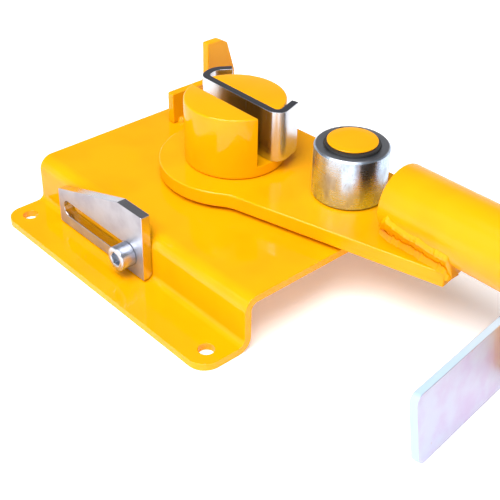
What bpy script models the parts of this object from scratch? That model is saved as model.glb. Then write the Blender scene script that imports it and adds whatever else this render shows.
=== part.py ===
"""Bench rebar bender.

A slotted pivot post stands on a base bent from sheet. A lever turns round the post and
carries a roller that bends the bar round a lift-out former. A fence and a sliding stop
limit the bar and the lever.

Metres, +Z up. The origin is the middle of the seat that the bar lies on, on the pivot's
axis. +X runs along the base and +Y runs to its back.
"""

import math

import bmesh
import bpy
from mathutils import Matrix, Vector

# Gap kept between pieces that touch, overrun of cutters, and the distance that merges points
GAP = 0.0003
OVERRUN = 0.002
MERGE = 0.00001

# Base: one sheet bent to a hat section, with a flange at the front and one at the back
SHEET = 0.005
BASE_LENGTH = 0.2098
BASE_LEFT = 0.0994
BASE_HEIGHT = 0.037
BASE_FRONT = 0.0892
BASE_BACK = 0.0680
FLANGE_WIDTH = 0.0318
BEND_RADIUS = 0.0045
FLANGE_CORNER_RADIUS = 0.012
BENCH_HOLE_RADIUS = 0.005
BENCH_HOLE_END = 0.0124
BENCH_HOLE_EDGE = 0.0135

# Pivot post: a slotted head on a spigot
POST_RADIUS = 0.03315
POST_FOOT_HEIGHT = 0.0076
POST_HORN_HEIGHT = 0.0347
POST_SLOT_FRONT = 0.0093
POST_EDGE = 0.0011
SPIGOT_RADIUS = 0.021
THRUST_WASHER = 0.002
THRUST_WASHER_RADIUS = 0.040

# Screw that holds the post down, its washer, and the dowels that keep the post from turning
POST_BOLT_RADIUS = 0.008
POST_BOLT_FLATS = 0.024
POST_BOLT_HEAD = 0.010
POST_BOLT_GRIP = 0.014
POST_WASHER_RADIUS = 0.017
POST_WASHER = 0.003
DOWEL_RADIUS = 0.004
DOWEL_CIRCLE = 0.0145
DOWEL_DEPTH = 0.009

# Lift-out former: a flat bar on edge, bent round the back horn of the post
FORMER_THICKNESS = 0.005
FORMER_HEIGHT = 0.035
FORMER_FACE = 0.0020
FORMER_HALF_LENGTH_LEFT = 0.0366
FORMER_HALF_LENGTH_RIGHT = 0.0361
FORMER_RIGHT_LEG = 0.0205
FORMER_RIGHT_ANGLE = math.radians(107.1)
FORMER_RIGHT_BEND = 0.0028
FORMER_LEFT_LEG = 0.0120
FORMER_LEFT_ANGLE = math.radians(76.0)
FORMER_LEFT_BEND = 0.0040
FORMER_CURL_LENGTH = 0.0121
FORMER_CURL_ANGLE = math.radians(47.2)
FORMER_CURL_BEND = 0.0080

# Fence: a plate on edge, welded across the base's left end
FENCE_THICKNESS = 0.006
FENCE_INSET = 0.0154
FENCE_FRONT = 0.0105
FENCE_LOW_LENGTH = 0.0325
FENCE_LOW_HEIGHT = 0.023
FENCE_TALL_HEIGHT = 0.0520
FENCE_TOP_LENGTH = 0.0120
FENCE_CORNER_DROP = 0.0035
FENCE_CORNER_LENGTH = 0.0063
FENCE_SIDE_LENGTH = 0.0069
FENCE_SIDE_DROP = 0.0229
FENCE_HEEL_LENGTH = 0.0120
FENCE_HEEL_HEIGHT = 0.0130
FENCE_NOTCH_RADIUS = 0.002
FENCE_WELD = 0.0035
FENCE_WELD_CROWN_SHARE = 0.7

# Lever plate: a ring round the post that tapers to a nose under the tube
LEVER_PLATE = 0.010
LEVER_RING_RADIUS = 0.050
LEVER_FRONT_DISTANCE = 0.04347
LEVER_FRONT_ANGLE = math.radians(14.5)
LEVER_FRONT_FILLET = 0.025
LEVER_BACK_SHIFT = 0.005
LEVER_BACK_RAISE = 0.0023
LEVER_BACK_ANGLE = math.radians(3.0)
LEVER_BACK_LENGTH = 0.0840
LEVER_NOSE_REACH = 0.1765
LEVER_NOSE_SLANT = 0.0038
LEVER_NOSE_HALF_WIDTH = 0.0160
LEVER_NOSE_CORNER_RADIUS = 0.0015
LEVER_CORNER_RADIUS = 0.0050
LEVER_EDGE = 0.0008
BUSH_WALL = 0.0027

# Roller and its pin
ROLLER_X = 0.081285
ROLLER_Y = 0.02323
ROLLER_RADIUS = 0.0235
ROLLER_HEIGHT = 0.034
ROLLER_EDGE = 0.0012
ROLLER_BUSH_WALL = 0.0012
PIN_RADIUS = 0.0158
PIN_EDGE = 0.0008
PIN_CAP = 0.00095
PIN_TAIL_RADIUS = 0.011
PIN_WELD = 0.0026
CLIP_THICKNESS = 0.0015
CLIP_GROOVE_DEPTH = 0.0008
CLIP_WIDTH = 0.0035
CLIP_SHIFT = 0.0012
CLIP_EAR = 0.0024
CLIP_STEPS = 28
CLIP_OPENING = math.radians(30.0)
CLIP_DIRECTION = math.radians(137.0)

# Handle tube, lying on the lever plate
TUBE_RADIUS = 0.0212
TUBE_WALL = 0.0032
TUBE_ANGLE = math.radians(1.27)
TUBE_OFFSET = 0.012985
TUBE_START = 0.1284
TUBE_END = 0.520
TUBE_WELD_START = 0.1235
TUBE_WELD_ROOT = 0.0078
TUBE_WELD_TOE = 0.0112
TUBE_WELD_TOP = 0.0165
PLUG_FLANGE = 0.003
PLUG_DEPTH = 0.018

# Foot plate of the lever, the lug that carries it, and their screws
FOOT_THICKNESS = 0.005
FOOT_LENGTH = 0.2008
FOOT_HEIGHT = 0.0424
FOOT_CORNER_RADIUS = 0.005
FOOT_SETBACK = 0.0481
FOOT_SKEW = math.radians(4.79)
FOOT_LEAN = math.radians(9.05)
LUG_THICKNESS = 0.008
LUG_WIDTH = 0.040
LUG_TOP = 0.058
LUG_BOTTOM = 0.008
LUG_CORNER_RADIUS = 0.006
LUG_WELD = 0.004
LUG_WELD_HALF_ANGLE = math.radians(40.0)
LUG_WELD_STEPS = 12
FOOT_BOLT_RADIUS = 0.004
FOOT_BOLT_FLATS = 0.013
FOOT_BOLT_HEAD = 0.0053
FOOT_NUT = 0.0065
FOOT_BOLT_TAIL = 0.0025
FOOT_BOLT_HALF_PITCH = 0.0115
FOOT_BOLT_HEIGHT = 0.024

# Sliding stop on the base's front wall, and its screw and nut
STOP_THICKNESS = 0.0066
STOP_LENGTH = 0.0916
STOP_BODY_LEFT = 0.0768
STOP_HEAD_LENGTH = 0.0240
STOP_LOW_HEIGHT = 0.0247
STOP_TALL_HEIGHT = 0.0465
STOP_RAISE = 0.0059
STOP_CORNER_RADIUS = 0.0010
STOP_HEEL_SHARE = 0.66
STOP_SLOT_HALF_WIDTH = 0.0056
STOP_SLOT_LEFT = 0.0053
STOP_SLOT_RIGHT = 0.0082
SCREW_X = 0.010
SCREW_HEIGHT = 0.0195
SCREW_RADIUS = 0.005
SCREW_HEAD_RADIUS = 0.008
SCREW_HEAD = 0.010
SCREW_EDGE = 0.0007
SCREW_LENGTH = 0.025
SOCKET_FLATS = 0.008
SOCKET_DEPTH = 0.005
NUT_FLATS = 0.016
NUT_HEIGHT = 0.0084

# Heights, counted from the bar's seat
POST_UNDERSIDE = -POST_FOOT_HEIGHT
LEVER_TOP = POST_UNDERSIDE - GAP
LEVER_BOTTOM = LEVER_TOP - LEVER_PLATE
WASHER_TOP = LEVER_BOTTOM - GAP
BASE_TOP = WASHER_TOP - THRUST_WASHER - GAP
BENCH = BASE_TOP - BASE_HEIGHT
BASE_UNDERSIDE = BASE_TOP - SHEET
ROLLER_BOTTOM = LEVER_TOP + GAP
ROLLER_TOP = ROLLER_BOTTOM + ROLLER_HEIGHT
CLIP_BOTTOM = ROLLER_TOP + GAP
PIN_TOP = CLIP_BOTTOM + CLIP_THICKNESS + GAP + PIN_CAP
TUBE_AXIS_HEIGHT = LEVER_TOP + GAP + TUBE_RADIUS
SCREW_Z = BENCH + SCREW_HEIGHT

# How far along the tube the foot plate stands, behind the lever plate's nose
FOOT_REACH = LEVER_NOSE_REACH + FOOT_SETBACK

# Facets of round pieces
ROUND_STEPS = 48
SMALL_STEPS = 24
BEND_STEPS = 4
CORNER_STEPS = 3
SMOOTH_ANGLE = math.radians(35.0)

# Turns for shapes made along Z: to lie along +X, or along -Y
TWIST = Matrix.Rotation(math.radians(90.0), 4, "Y")
FORWARD = Matrix.Rotation(math.radians(90.0), 4, "X")
# Turns for outlines: drawn in Y and Z and raised along +X, or in X and Z and raised along -Y
SIDE_VIEW = Matrix(((0, 0, 1, 0), (1, 0, 0, 0), (0, 1, 0, 0), (0, 0, 0, 1)))
FRONT_VIEW = Matrix(((1, 0, 0, 0), (0, 0, -1, 0), (0, 1, 0, 0), (0, 0, 0, 1)))


def clear_scene():
    for thing in list(bpy.data.objects):
        bpy.data.objects.remove(thing, do_unlink=True)


def look(name, colour, roughness, metallic):
    """A material with the piece's colour, roughness and metal."""
    made = bpy.data.materials.new(name)
    made.use_nodes = True
    shader = made.node_tree.nodes["Principled BSDF"]
    shader.inputs["Base Color"].default_value = (*colour, 1.0)
    shader.inputs["Roughness"].default_value = roughness
    shader.inputs["Metallic"].default_value = metallic
    made.diffuse_color = (*colour, 1.0)
    return made


def add_piece(name, shape, coat, parent=None, place=(0, 0, 0), turn=(0, 0, 0)):
    """An object made from a bmesh, which is freed."""
    bmesh.ops.recalc_face_normals(shape, faces=shape.faces)
    mesh = bpy.data.meshes.new(name)
    shape.to_mesh(mesh)
    shape.free()
    mesh.shade_smooth()
    mesh.set_sharp_from_angle(angle=SMOOTH_ANGLE)
    if coat:
        mesh.materials.append(coat)
    made = bpy.data.objects.new(name, mesh)
    bpy.context.collection.objects.link(made)
    made.parent = parent
    made.location = place
    made.rotation_euler = turn
    return made


def add_pivot(name, parent=None, place=(0, 0, 0), turn=(0, 0, 0)):
    made = bpy.data.objects.new(name, None)
    bpy.context.collection.objects.link(made)
    made.parent = parent
    made.location = place
    made.rotation_euler = turn
    return made


def cut(piece, name, shape, parent=None, place=(0, 0, 0), turn=(0, 0, 0), operation="DIFFERENCE"):
    """Cuts a shape out of a piece, or keeps only what lies in it."""
    cutter = add_piece(name, shape, None, parent, place, turn)
    cutter.hide_render = True
    cutter.display_type = "WIRE"
    change = piece.modifiers.new(name, "BOOLEAN")
    change.solver = "EXACT"
    change.operation = operation
    change.object = cutter


def polar(radius, angle):
    return Vector((radius * math.cos(angle), radius * math.sin(angle)))


def arc(centre, radius, start, end, steps):
    """Points of an arc, from one angle to another, both ends counted."""
    return [centre + polar(radius, start + (end - start) * i / steps) for i in range(steps + 1)]


def rounded(corners, steps=CORNER_STEPS):
    """A closed outline whose corners, given as (point, radius), are rounded where they can be."""
    points = []
    for i, (corner, radius) in enumerate(corners):
        corner = Vector(corner)
        before = (Vector(corners[i - 1][0]) - corner)
        after = (Vector(corners[(i + 1) % len(corners)][0]) - corner)
        half = before.angle(after) / 2
        reach = min(radius / math.tan(half), before.length / 2, after.length / 2)
        if not radius:
            points.append(corner)
            continue
        radius = reach * math.tan(half)
        inward = (before.normalized() + after.normalized()).normalized()
        middle = corner + inward * (radius / math.sin(half))
        first = corner + before.normalized() * reach - middle
        sweep = first.angle_signed(corner + after.normalized() * reach - middle)
        start = math.atan2(first.y, first.x)
        points += arc(middle, radius, start, start - sweep, steps)
    return points


def sheet_section(corners, radii, thickness, steps=BEND_STEPS):
    """Closed section of a bent sheet: its middle line runs through the corners and bends to
    the left or right there, with the given inside radii."""
    middle = []
    corners = [Vector(c) for c in corners]
    for i, corner in enumerate(corners):
        ahead = (corners[min(i + 1, len(corners) - 1)] - corner)
        behind = (corner - corners[max(i - 1, 0)])
        if not behind.length or not ahead.length:
            along = (ahead if ahead.length else behind).normalized()
            middle.append((corner, Vector((-along.y, along.x))))
            continue
        turn = -behind.angle_signed(ahead)
        side = math.copysign(1, turn)
        radius = radii[i - 1] + thickness / 2
        along = behind.normalized()
        normal = Vector((-along.y, along.x))
        start = corner - along * radius * math.tan(abs(turn) / 2)
        centre = start + normal * side * radius
        for step in range(steps + 1):
            rotated = Matrix.Rotation(turn * step / steps, 2) @ normal
            middle.append((centre - rotated * side * radius, rotated))
    left = [point + normal * thickness / 2 for point, normal in middle]
    right = [point - normal * thickness / 2 for point, normal in middle]
    return left + right[::-1]


def slab(outline, low, high, turn=None, edge=0):
    """An outline raised from low to high along Z, with its rims chamfered, then turned."""
    shape = bmesh.new()
    face = shape.faces.new([shape.verts.new((p[0], p[1], low)) for p in outline])
    raised = bmesh.ops.extrude_face_region(shape, geom=[face])["geom"]
    tops = [g for g in raised if isinstance(g, bmesh.types.BMVert)]
    bmesh.ops.translate(shape, verts=tops, vec=(0, 0, high - low))
    bmesh.ops.recalc_face_normals(shape, faces=shape.faces)
    if edge:
        rims = [e for e in shape.edges if abs(e.verts[0].co.z - e.verts[1].co.z) < MERGE]
        bmesh.ops.bevel(shape, geom=rims, offset=edge, segments=1, affect="EDGES")
    if turn:
        bmesh.ops.transform(shape, matrix=turn, verts=shape.verts)
    return shape


def turned(profile, steps=ROUND_STEPS, turn=None, sweep=math.tau, start=0.0):
    """A closed (radius, height) profile spun round Z, then turned."""
    shape = bmesh.new()
    verts = [shape.verts.new((r * math.cos(start), r * math.sin(start), z)) for r, z in profile]
    edges = [shape.edges.new((verts[i - 1], verts[i])) for i in range(len(verts))]
    whole = sweep == math.tau
    if whole:
        bmesh.ops.spin(shape, geom=verts + edges, axis=(0, 0, 1), cent=(0, 0, 0), angle=sweep,
                       steps=steps, use_merge=True)
    else:
        face = shape.faces.new(verts)
        bmesh.ops.spin(shape, geom=[face], axis=(0, 0, 1), cent=(0, 0, 0), angle=sweep, steps=steps)
    bmesh.ops.remove_doubles(shape, verts=shape.verts, dist=MERGE)
    loose = [e for e in shape.edges if not e.link_faces]
    bmesh.ops.delete(shape, geom=loose, context="EDGES")
    if turn:
        bmesh.ops.transform(shape, matrix=turn, verts=shape.verts)
    return shape


def ring(inner, outer, low, high, edge=0):
    """Profile of a ring with chamfered outer edges."""
    return [(inner, low), (outer - edge, low), (outer, low + edge), (outer, high - edge),
            (outer - edge, high), (inner, high)] if edge else [
            (inner, low), (outer, low), (outer, high), (inner, high)]


def rod(radius, low, high, edge=0):
    return ring(0, radius, low, high, edge)


def hexagon(flats):
    return [polar(flats / math.sqrt(3), math.tau * i / 6) for i in range(6)]


def merge(*shapes):
    """Separate solids in one bmesh."""
    whole = bmesh.new()
    for shape in shapes:
        mesh = bpy.data.meshes.new("part")
        shape.to_mesh(mesh)
        shape.free()
        whole.from_mesh(mesh)
        bpy.data.meshes.remove(mesh)
    return whole


def moved(shape, *offset):
    bmesh.ops.translate(shape, verts=shape.verts, vec=offset)
    return shape


def make_base(coats):
    """The hat section, its round flange corners and every hole through it."""
    half = SHEET / 2
    front_edge = -(BASE_FRONT + FLANGE_WIDTH)
    back_edge = BASE_BACK + FLANGE_WIDTH
    section = sheet_section(
        [(front_edge - OVERRUN, BENCH + half), (half - BASE_FRONT, BENCH + half),
         (half - BASE_FRONT, BASE_TOP - half), (BASE_BACK - half, BASE_TOP - half),
         (BASE_BACK - half, BENCH + half), (back_edge + OVERRUN, BENCH + half)],
        [BEND_RADIUS] * 4, SHEET)
    left, right = -BASE_LEFT, BASE_LENGTH - BASE_LEFT
    base = add_piece("base_plate", slab(section, left - OVERRUN, right + OVERRUN, SIDE_VIEW),
                     coats["paint"])
    r = FLANGE_CORNER_RADIUS
    blank = rounded([((left, front_edge), r), ((right, front_edge), r),
                     ((right, back_edge), r), ((left, back_edge), r)], CORNER_STEPS * 2)
    cut(base, "trim_base", slab(blank, BENCH - OVERRUN, BASE_TOP + OVERRUN), operation="INTERSECT")
    low, high = BASE_UNDERSIDE - OVERRUN, BASE_TOP + OVERRUN
    holes = [turned(rod(POST_BOLT_RADIUS + GAP, low, high), SMALL_STEPS)]
    for x in (left + BENCH_HOLE_END, right - BENCH_HOLE_END):
        for y in (front_edge + BENCH_HOLE_EDGE, back_edge - BENCH_HOLE_EDGE):
            hole = turned(rod(BENCH_HOLE_RADIUS, BENCH - OVERRUN, BENCH + SHEET + OVERRUN), SMALL_STEPS)
            holes.append(moved(hole, x, y, 0))
    for side in (-1, 1):
        hole = turned(rod(DOWEL_RADIUS + GAP, low, high), SMALL_STEPS)
        holes.append(moved(hole, side * DOWEL_CIRCLE, 0, 0))
    hole = turned(rod(SCREW_RADIUS + GAP, BASE_FRONT - SHEET - OVERRUN, BASE_FRONT + OVERRUN),
                  SMALL_STEPS, FORWARD)
    holes.append(moved(hole, SCREW_X, 0, SCREW_Z))
    cut(base, "cut_base_holes", merge(*holes))


def former_section(extra=0):
    """Plan of the former: two bends on the left, so its end curls, and one on the right."""
    line = FORMER_FACE + FORMER_THICKNESS / 2
    left = Vector((-FORMER_HALF_LENGTH_LEFT, line))
    right = Vector((FORMER_HALF_LENGTH_RIGHT, line))
    left_way = math.pi - FORMER_LEFT_ANGLE
    knee = left + polar(FORMER_LEFT_LEG, left_way)
    end = knee + polar(FORMER_CURL_LENGTH, left_way - FORMER_CURL_ANGLE)
    tip = right + polar(FORMER_RIGHT_LEG, FORMER_RIGHT_ANGLE)
    if extra:
        end += (end - knee).normalized() * OVERRUN
        tip += (tip - right).normalized() * OVERRUN
    radii = [FORMER_CURL_BEND - extra, FORMER_LEFT_BEND - extra, FORMER_RIGHT_BEND - extra]
    return sheet_section([end, knee, left, right, tip], radii, FORMER_THICKNESS + 2 * extra)


def make_post(coats):
    """The slotted post, and what holds it to the base."""
    top = POST_HORN_HEIGHT
    bottom = BASE_TOP + GAP
    thread = POST_BOLT_RADIUS + GAP
    profile = [(0, bottom), (SPIGOT_RADIUS, bottom), (SPIGOT_RADIUS, POST_UNDERSIDE),
               (POST_RADIUS - POST_EDGE, POST_UNDERSIDE), (POST_RADIUS, POST_UNDERSIDE + POST_EDGE),
               (POST_RADIUS, top - POST_EDGE), (POST_RADIUS - POST_EDGE, top), (0, top)]
    post = add_piece("pivot_post", turned(profile, ROUND_STEPS), coats["paint"])
    back = FORMER_FACE + FORMER_THICKNESS + GAP
    flare = POST_EDGE + OVERRUN
    slot = [(-POST_SLOT_FRONT, 0), (back, 0), (back, top - POST_EDGE), (back + flare, top + OVERRUN),
            (-POST_SLOT_FRONT - flare, top + OVERRUN), (-POST_SLOT_FRONT, top - POST_EDGE)]
    half = POST_RADIUS + OVERRUN
    cut(post, "cut_bar_slot", slab(slot, -half, half, SIDE_VIEW))
    # The former's bed lies a gap below the seat, so the seat is only the open slot floor
    cut(post, "cut_former_path", slab(former_section(GAP), -GAP, top + 2 * OVERRUN))
    low = bottom - OVERRUN
    bores = [turned(rod(thread, low, BASE_TOP + POST_BOLT_GRIP + GAP), SMALL_STEPS)]
    for side in (-1, 1):
        bore = turned(rod(DOWEL_RADIUS + GAP, low, bottom + DOWEL_DEPTH + GAP), SMALL_STEPS)
        bores.append(moved(bore, side * DOWEL_CIRCLE, 0, 0))
    cut(post, "cut_post_bores", merge(*bores))

    head_top = BASE_UNDERSIDE - GAP - POST_WASHER - GAP
    bolt = add_piece("post_bolt", slab(hexagon(POST_BOLT_FLATS), head_top - POST_BOLT_HEAD, head_top),
                     coats["zinc"])
    shank = rod(POST_BOLT_RADIUS, head_top - POST_BOLT_HEAD / 2, BASE_TOP + POST_BOLT_GRIP)
    cut(bolt, "join_bolt_shank", turned(shank, SMALL_STEPS), operation="UNION")
    add_piece("post_washer", turned(ring(POST_BOLT_RADIUS + GAP, POST_WASHER_RADIUS, head_top + GAP,
                                         head_top + GAP + POST_WASHER), SMALL_STEPS), coats["zinc"])
    for name, side in (("post_dowel_left", -1), ("post_dowel_right", 1)):
        dowel = turned(rod(DOWEL_RADIUS, BASE_UNDERSIDE, bottom + DOWEL_DEPTH), SMALL_STEPS)
        add_piece(name, dowel, coats["steel"], place=(side * DOWEL_CIRCLE, 0, 0))
    add_piece("thrust_washer", turned(ring(SPIGOT_RADIUS + GAP, THRUST_WASHER_RADIUS,
                                           WASHER_TOP - THRUST_WASHER, WASHER_TOP)), coats["bronze"])


def make_former(coats):
    """The former stands on the seat, round the back horn, and lifts straight out."""
    seat = add_pivot("former_seat")
    add_piece("bar_former", slab(former_section(), 0, FORMER_HEIGHT), coats["steel"], seat)


def make_fence(coats):
    """Plate on edge at the base's left end: low in front, tall behind, with a cut heel."""
    foot = BASE_TOP + GAP
    low = BASE_TOP + FENCE_LOW_HEIGHT
    top = BASE_TOP + FENCE_TALL_HEIGHT
    step = FENCE_FRONT + FENCE_LOW_LENGTH
    shoulder = step + FENCE_TOP_LENGTH
    corner = shoulder + FENCE_CORNER_LENGTH
    side = corner + FENCE_SIDE_LENGTH
    heel = side - FENCE_HEEL_LENGTH
    drop = top - FENCE_CORNER_DROP
    outline = rounded([
        ((FENCE_FRONT, foot), 0), ((heel, foot), 0), ((side, foot + FENCE_HEEL_HEIGHT), 0),
        ((side, drop - FENCE_SIDE_DROP), 0), ((corner, drop), FENCE_NOTCH_RADIUS),
        ((shoulder, top), FENCE_NOTCH_RADIUS), ((step, top), FENCE_NOTCH_RADIUS / 2),
        ((step, low), FENCE_NOTCH_RADIUS), ((FENCE_FRONT, low), FENCE_NOTCH_RADIUS / 2)])
    near = FENCE_INSET - BASE_LEFT
    far = near + FENCE_THICKNESS
    add_piece("fence_plate", slab(outline, near, far, SIDE_VIEW), coats["paint"])
    # One bead along each side of the foot
    run = FENCE_WELD
    for name, face, way in (("fence_weld_right", far + GAP, 1), ("fence_weld_left", near - GAP, -1)):
        crown = (face + way * run / 2, foot + run * FENCE_WELD_CROWN_SHARE)
        bead = [(face, foot), (face + way * run, foot), crown, (face, foot + run)]
        add_piece(name, slab(bead, -heel, -(FENCE_FRONT + run), FRONT_VIEW), coats["paint"])


def lever_outline():
    """Plan of the lever plate, anticlockwise, from the ring's left side round its front."""
    hub = Vector((0, 0))
    ring_r, fillet = LEVER_RING_RADIUS, LEVER_FRONT_FILLET
    normal = LEVER_FRONT_ANGLE - math.pi / 2
    lean = math.acos((LEVER_FRONT_DISTANCE + fillet) / (ring_r + fillet))
    socket = normal + lean
    centre = polar(ring_r + fillet, socket)
    points = arc(hub, ring_r, math.pi - math.atan2(LEVER_BACK_RAISE, ring_r), math.tau + socket, 16)
    points += arc(centre, fillet, socket + math.pi, normal + math.pi, BEND_STEPS)[1:]
    # The nose lies along the tube and is cut off nearly square
    along = polar(1, TUBE_ANGLE)
    across = polar(1, TUBE_ANGLE + math.pi / 2)
    middle = across * TUBE_OFFSET
    reach = LEVER_NOSE_REACH - LEVER_NOSE_SLANT
    front_way = polar(1, LEVER_FRONT_ANGLE)
    foot = polar(LEVER_FRONT_DISTANCE, normal)
    # Where the front edge reaches the nose's end
    front = foot + front_way * ((LEVER_NOSE_REACH - foot.dot(along)) / front_way.dot(along))
    back_way = polar(1, LEVER_BACK_ANGLE)
    back_r = ring_r + LEVER_BACK_SHIFT
    back_centre = Vector((LEVER_BACK_SHIFT, LEVER_BACK_RAISE))
    back_start = back_centre + polar(back_r, LEVER_BACK_ANGLE + math.pi / 2)
    shoulder = back_start + back_way * LEVER_BACK_LENGTH
    corners = [(points[-1], 0), (front, LEVER_NOSE_CORNER_RADIUS),
               (middle + along * reach + across * LEVER_NOSE_HALF_WIDTH, LEVER_CORNER_RADIUS),
               (shoulder, LEVER_CORNER_RADIUS), (back_start, 0)]
    points += rounded(corners)[1:]
    points += arc(back_centre, back_r, LEVER_BACK_ANGLE + math.pi / 2, math.pi, 8)[1:-1]
    return points


def make_lever(coats):
    """The lever plate, its bush, the roller's pin, the tube and the welds between them."""
    pivot = add_pivot("lever_pivot")
    plate = add_piece("lever_plate", slab(lever_outline(), LEVER_BOTTOM, LEVER_TOP, edge=LEVER_EDGE),
                      coats["paint"], pivot)
    bush_outer = SPIGOT_RADIUS + GAP + BUSH_WALL
    bore = turned(rod(bush_outer + GAP, LEVER_BOTTOM - OVERRUN, LEVER_TOP + OVERRUN))
    cut(plate, "cut_lever_bore", bore, pivot)
    add_piece("lever_bush", turned(ring(SPIGOT_RADIUS + GAP, bush_outer, LEVER_BOTTOM, LEVER_TOP)),
              coats["bronze"], pivot)

    axis = add_pivot("roller_axis", pivot, (ROLLER_X, ROLLER_Y, 0))
    tail = PIN_TAIL_RADIUS + GAP
    splay = PIN_WELD + GAP
    seat = [(0, LEVER_BOTTOM - OVERRUN), (tail + splay + OVERRUN, LEVER_BOTTOM - OVERRUN),
            (tail, LEVER_BOTTOM + splay), (tail, LEVER_TOP + OVERRUN), (0, LEVER_TOP + OVERRUN)]
    cut(plate, "cut_pin_seat", turned(seat, SMALL_STEPS), axis)
    groove = PIN_RADIUS - CLIP_GROOVE_DEPTH
    groove_top = CLIP_BOTTOM + CLIP_THICKNESS + GAP
    pin = [(0, LEVER_BOTTOM), (PIN_TAIL_RADIUS, LEVER_BOTTOM), (PIN_TAIL_RADIUS, ROLLER_BOTTOM),
           (PIN_RADIUS, ROLLER_BOTTOM), (PIN_RADIUS, ROLLER_TOP), (groove, ROLLER_TOP),
           (groove, groove_top), (PIN_RADIUS, groove_top), (PIN_RADIUS, PIN_TOP - PIN_EDGE),
           (PIN_RADIUS - PIN_EDGE, PIN_TOP), (0, PIN_TOP)]
    add_piece("roller_pin", turned(pin), coats["paint"], axis)
    bead = [(tail, LEVER_BOTTOM + GAP), (tail + PIN_WELD - GAP, LEVER_BOTTOM + GAP),
            (tail, LEVER_BOTTOM + PIN_WELD)]
    add_piece("pin_weld", turned(bead, SMALL_STEPS), coats["paint"], axis)
    make_clip(coats, axis)

    shift = polar(TUBE_OFFSET, TUBE_ANGLE + math.pi / 2)
    rail = add_pivot("tube_axis", pivot, (shift.x, shift.y, TUBE_AXIS_HEIGHT), (0, 0, TUBE_ANGLE))
    add_piece("handle_tube", turned(ring(TUBE_RADIUS - TUBE_WALL, TUBE_RADIUS, TUBE_START, TUBE_END),
                                    turn=TWIST), coats["paint"], rail)
    for name, side in (("tube_weld_front", -1), ("tube_weld_back", 1)):
        add_piece(name, tube_bead(side), coats["paint"], rail)
    bore_r = TUBE_RADIUS - TUBE_WALL - GAP
    cap = TUBE_END + GAP
    plug = [(0, cap - PLUG_DEPTH), (bore_r, cap - PLUG_DEPTH), (bore_r, cap), (TUBE_RADIUS, cap),
            (TUBE_RADIUS, cap + PLUG_FLANGE / 2), (TUBE_RADIUS - PLUG_FLANGE / 2, cap + PLUG_FLANGE),
            (0, cap + PLUG_FLANGE)]
    add_piece("tube_plug", turned(plug, turn=TWIST), coats["plastic"], rail)
    make_foot(coats, rail)
    make_roller(coats, axis)


def tube_bead(side):
    """A weld bead along the wedge between the tube and the lever plate, in the tube's frame."""
    floor = GAP - TUBE_AXIS_HEIGHT + LEVER_TOP
    outer = TUBE_RADIUS + GAP
    start = math.asin(TUBE_WELD_ROOT / outer)
    end = math.asin(TUBE_WELD_TOP / outer)
    under = [(outer * math.sin(a), -outer * math.cos(a))
             for a in (start + (end - start) * i / BEND_STEPS for i in range(BEND_STEPS + 1))]
    top = under[-1]
    bulge = ((TUBE_WELD_TOE + top[0]) / 2 + GAP * 2, (floor + top[1]) / 2)
    section = [(TUBE_WELD_ROOT, floor), (TUBE_WELD_TOE, floor), bulge] + under[::-1]
    lie = Matrix(((0, 0, 1, 0), (side, 0, 0, 0), (0, 1, 0, 0), (0, 0, 0, 1)))
    return slab(section, TUBE_WELD_START, LEVER_NOSE_REACH - LEVER_NOSE_SLANT, lie)


def make_clip(coats, axis):
    """The retaining ring in the pin's groove: widest opposite its opening, with two ears."""
    inner = PIN_RADIUS - CLIP_GROOVE_DEPTH + GAP
    outer = inner + CLIP_WIDTH - CLIP_SHIFT
    steps = CLIP_STEPS
    half = CLIP_OPENING / 2
    inside = [polar(inner, half + (math.tau - 2 * half) * i / steps) for i in range(steps + 1)]
    outside = []
    for i in range(steps + 1):
        angle = half + (math.tau - 2 * half) * i / steps
        outside.append(polar(outer - CLIP_SHIFT * math.cos(angle), angle))
    for point in outside[:2] + outside[-2:]:
        point += point.normalized() * CLIP_EAR
    outline = inside + outside[::-1]
    turned_outline = [Matrix.Rotation(CLIP_DIRECTION, 2) @ p for p in outline]
    add_piece("roller_clip", slab(turned_outline, CLIP_BOTTOM, CLIP_BOTTOM + CLIP_THICKNESS),
              coats["black"], axis)


def make_roller(coats, axis):
    """The roller turns on its bush, round the pin."""
    bush_inner = PIN_RADIUS + GAP
    bush_outer = bush_inner + ROLLER_BUSH_WALL
    add_piece("roller_bush", turned(ring(bush_inner, bush_outer, ROLLER_BOTTOM, ROLLER_TOP)),
              coats["bronze"], axis)
    add_piece("roller_sleeve", turned(ring(bush_outer + GAP, ROLLER_RADIUS, ROLLER_BOTTOM, ROLLER_TOP,
                                           ROLLER_EDGE)), coats["steel"], axis)


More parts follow.
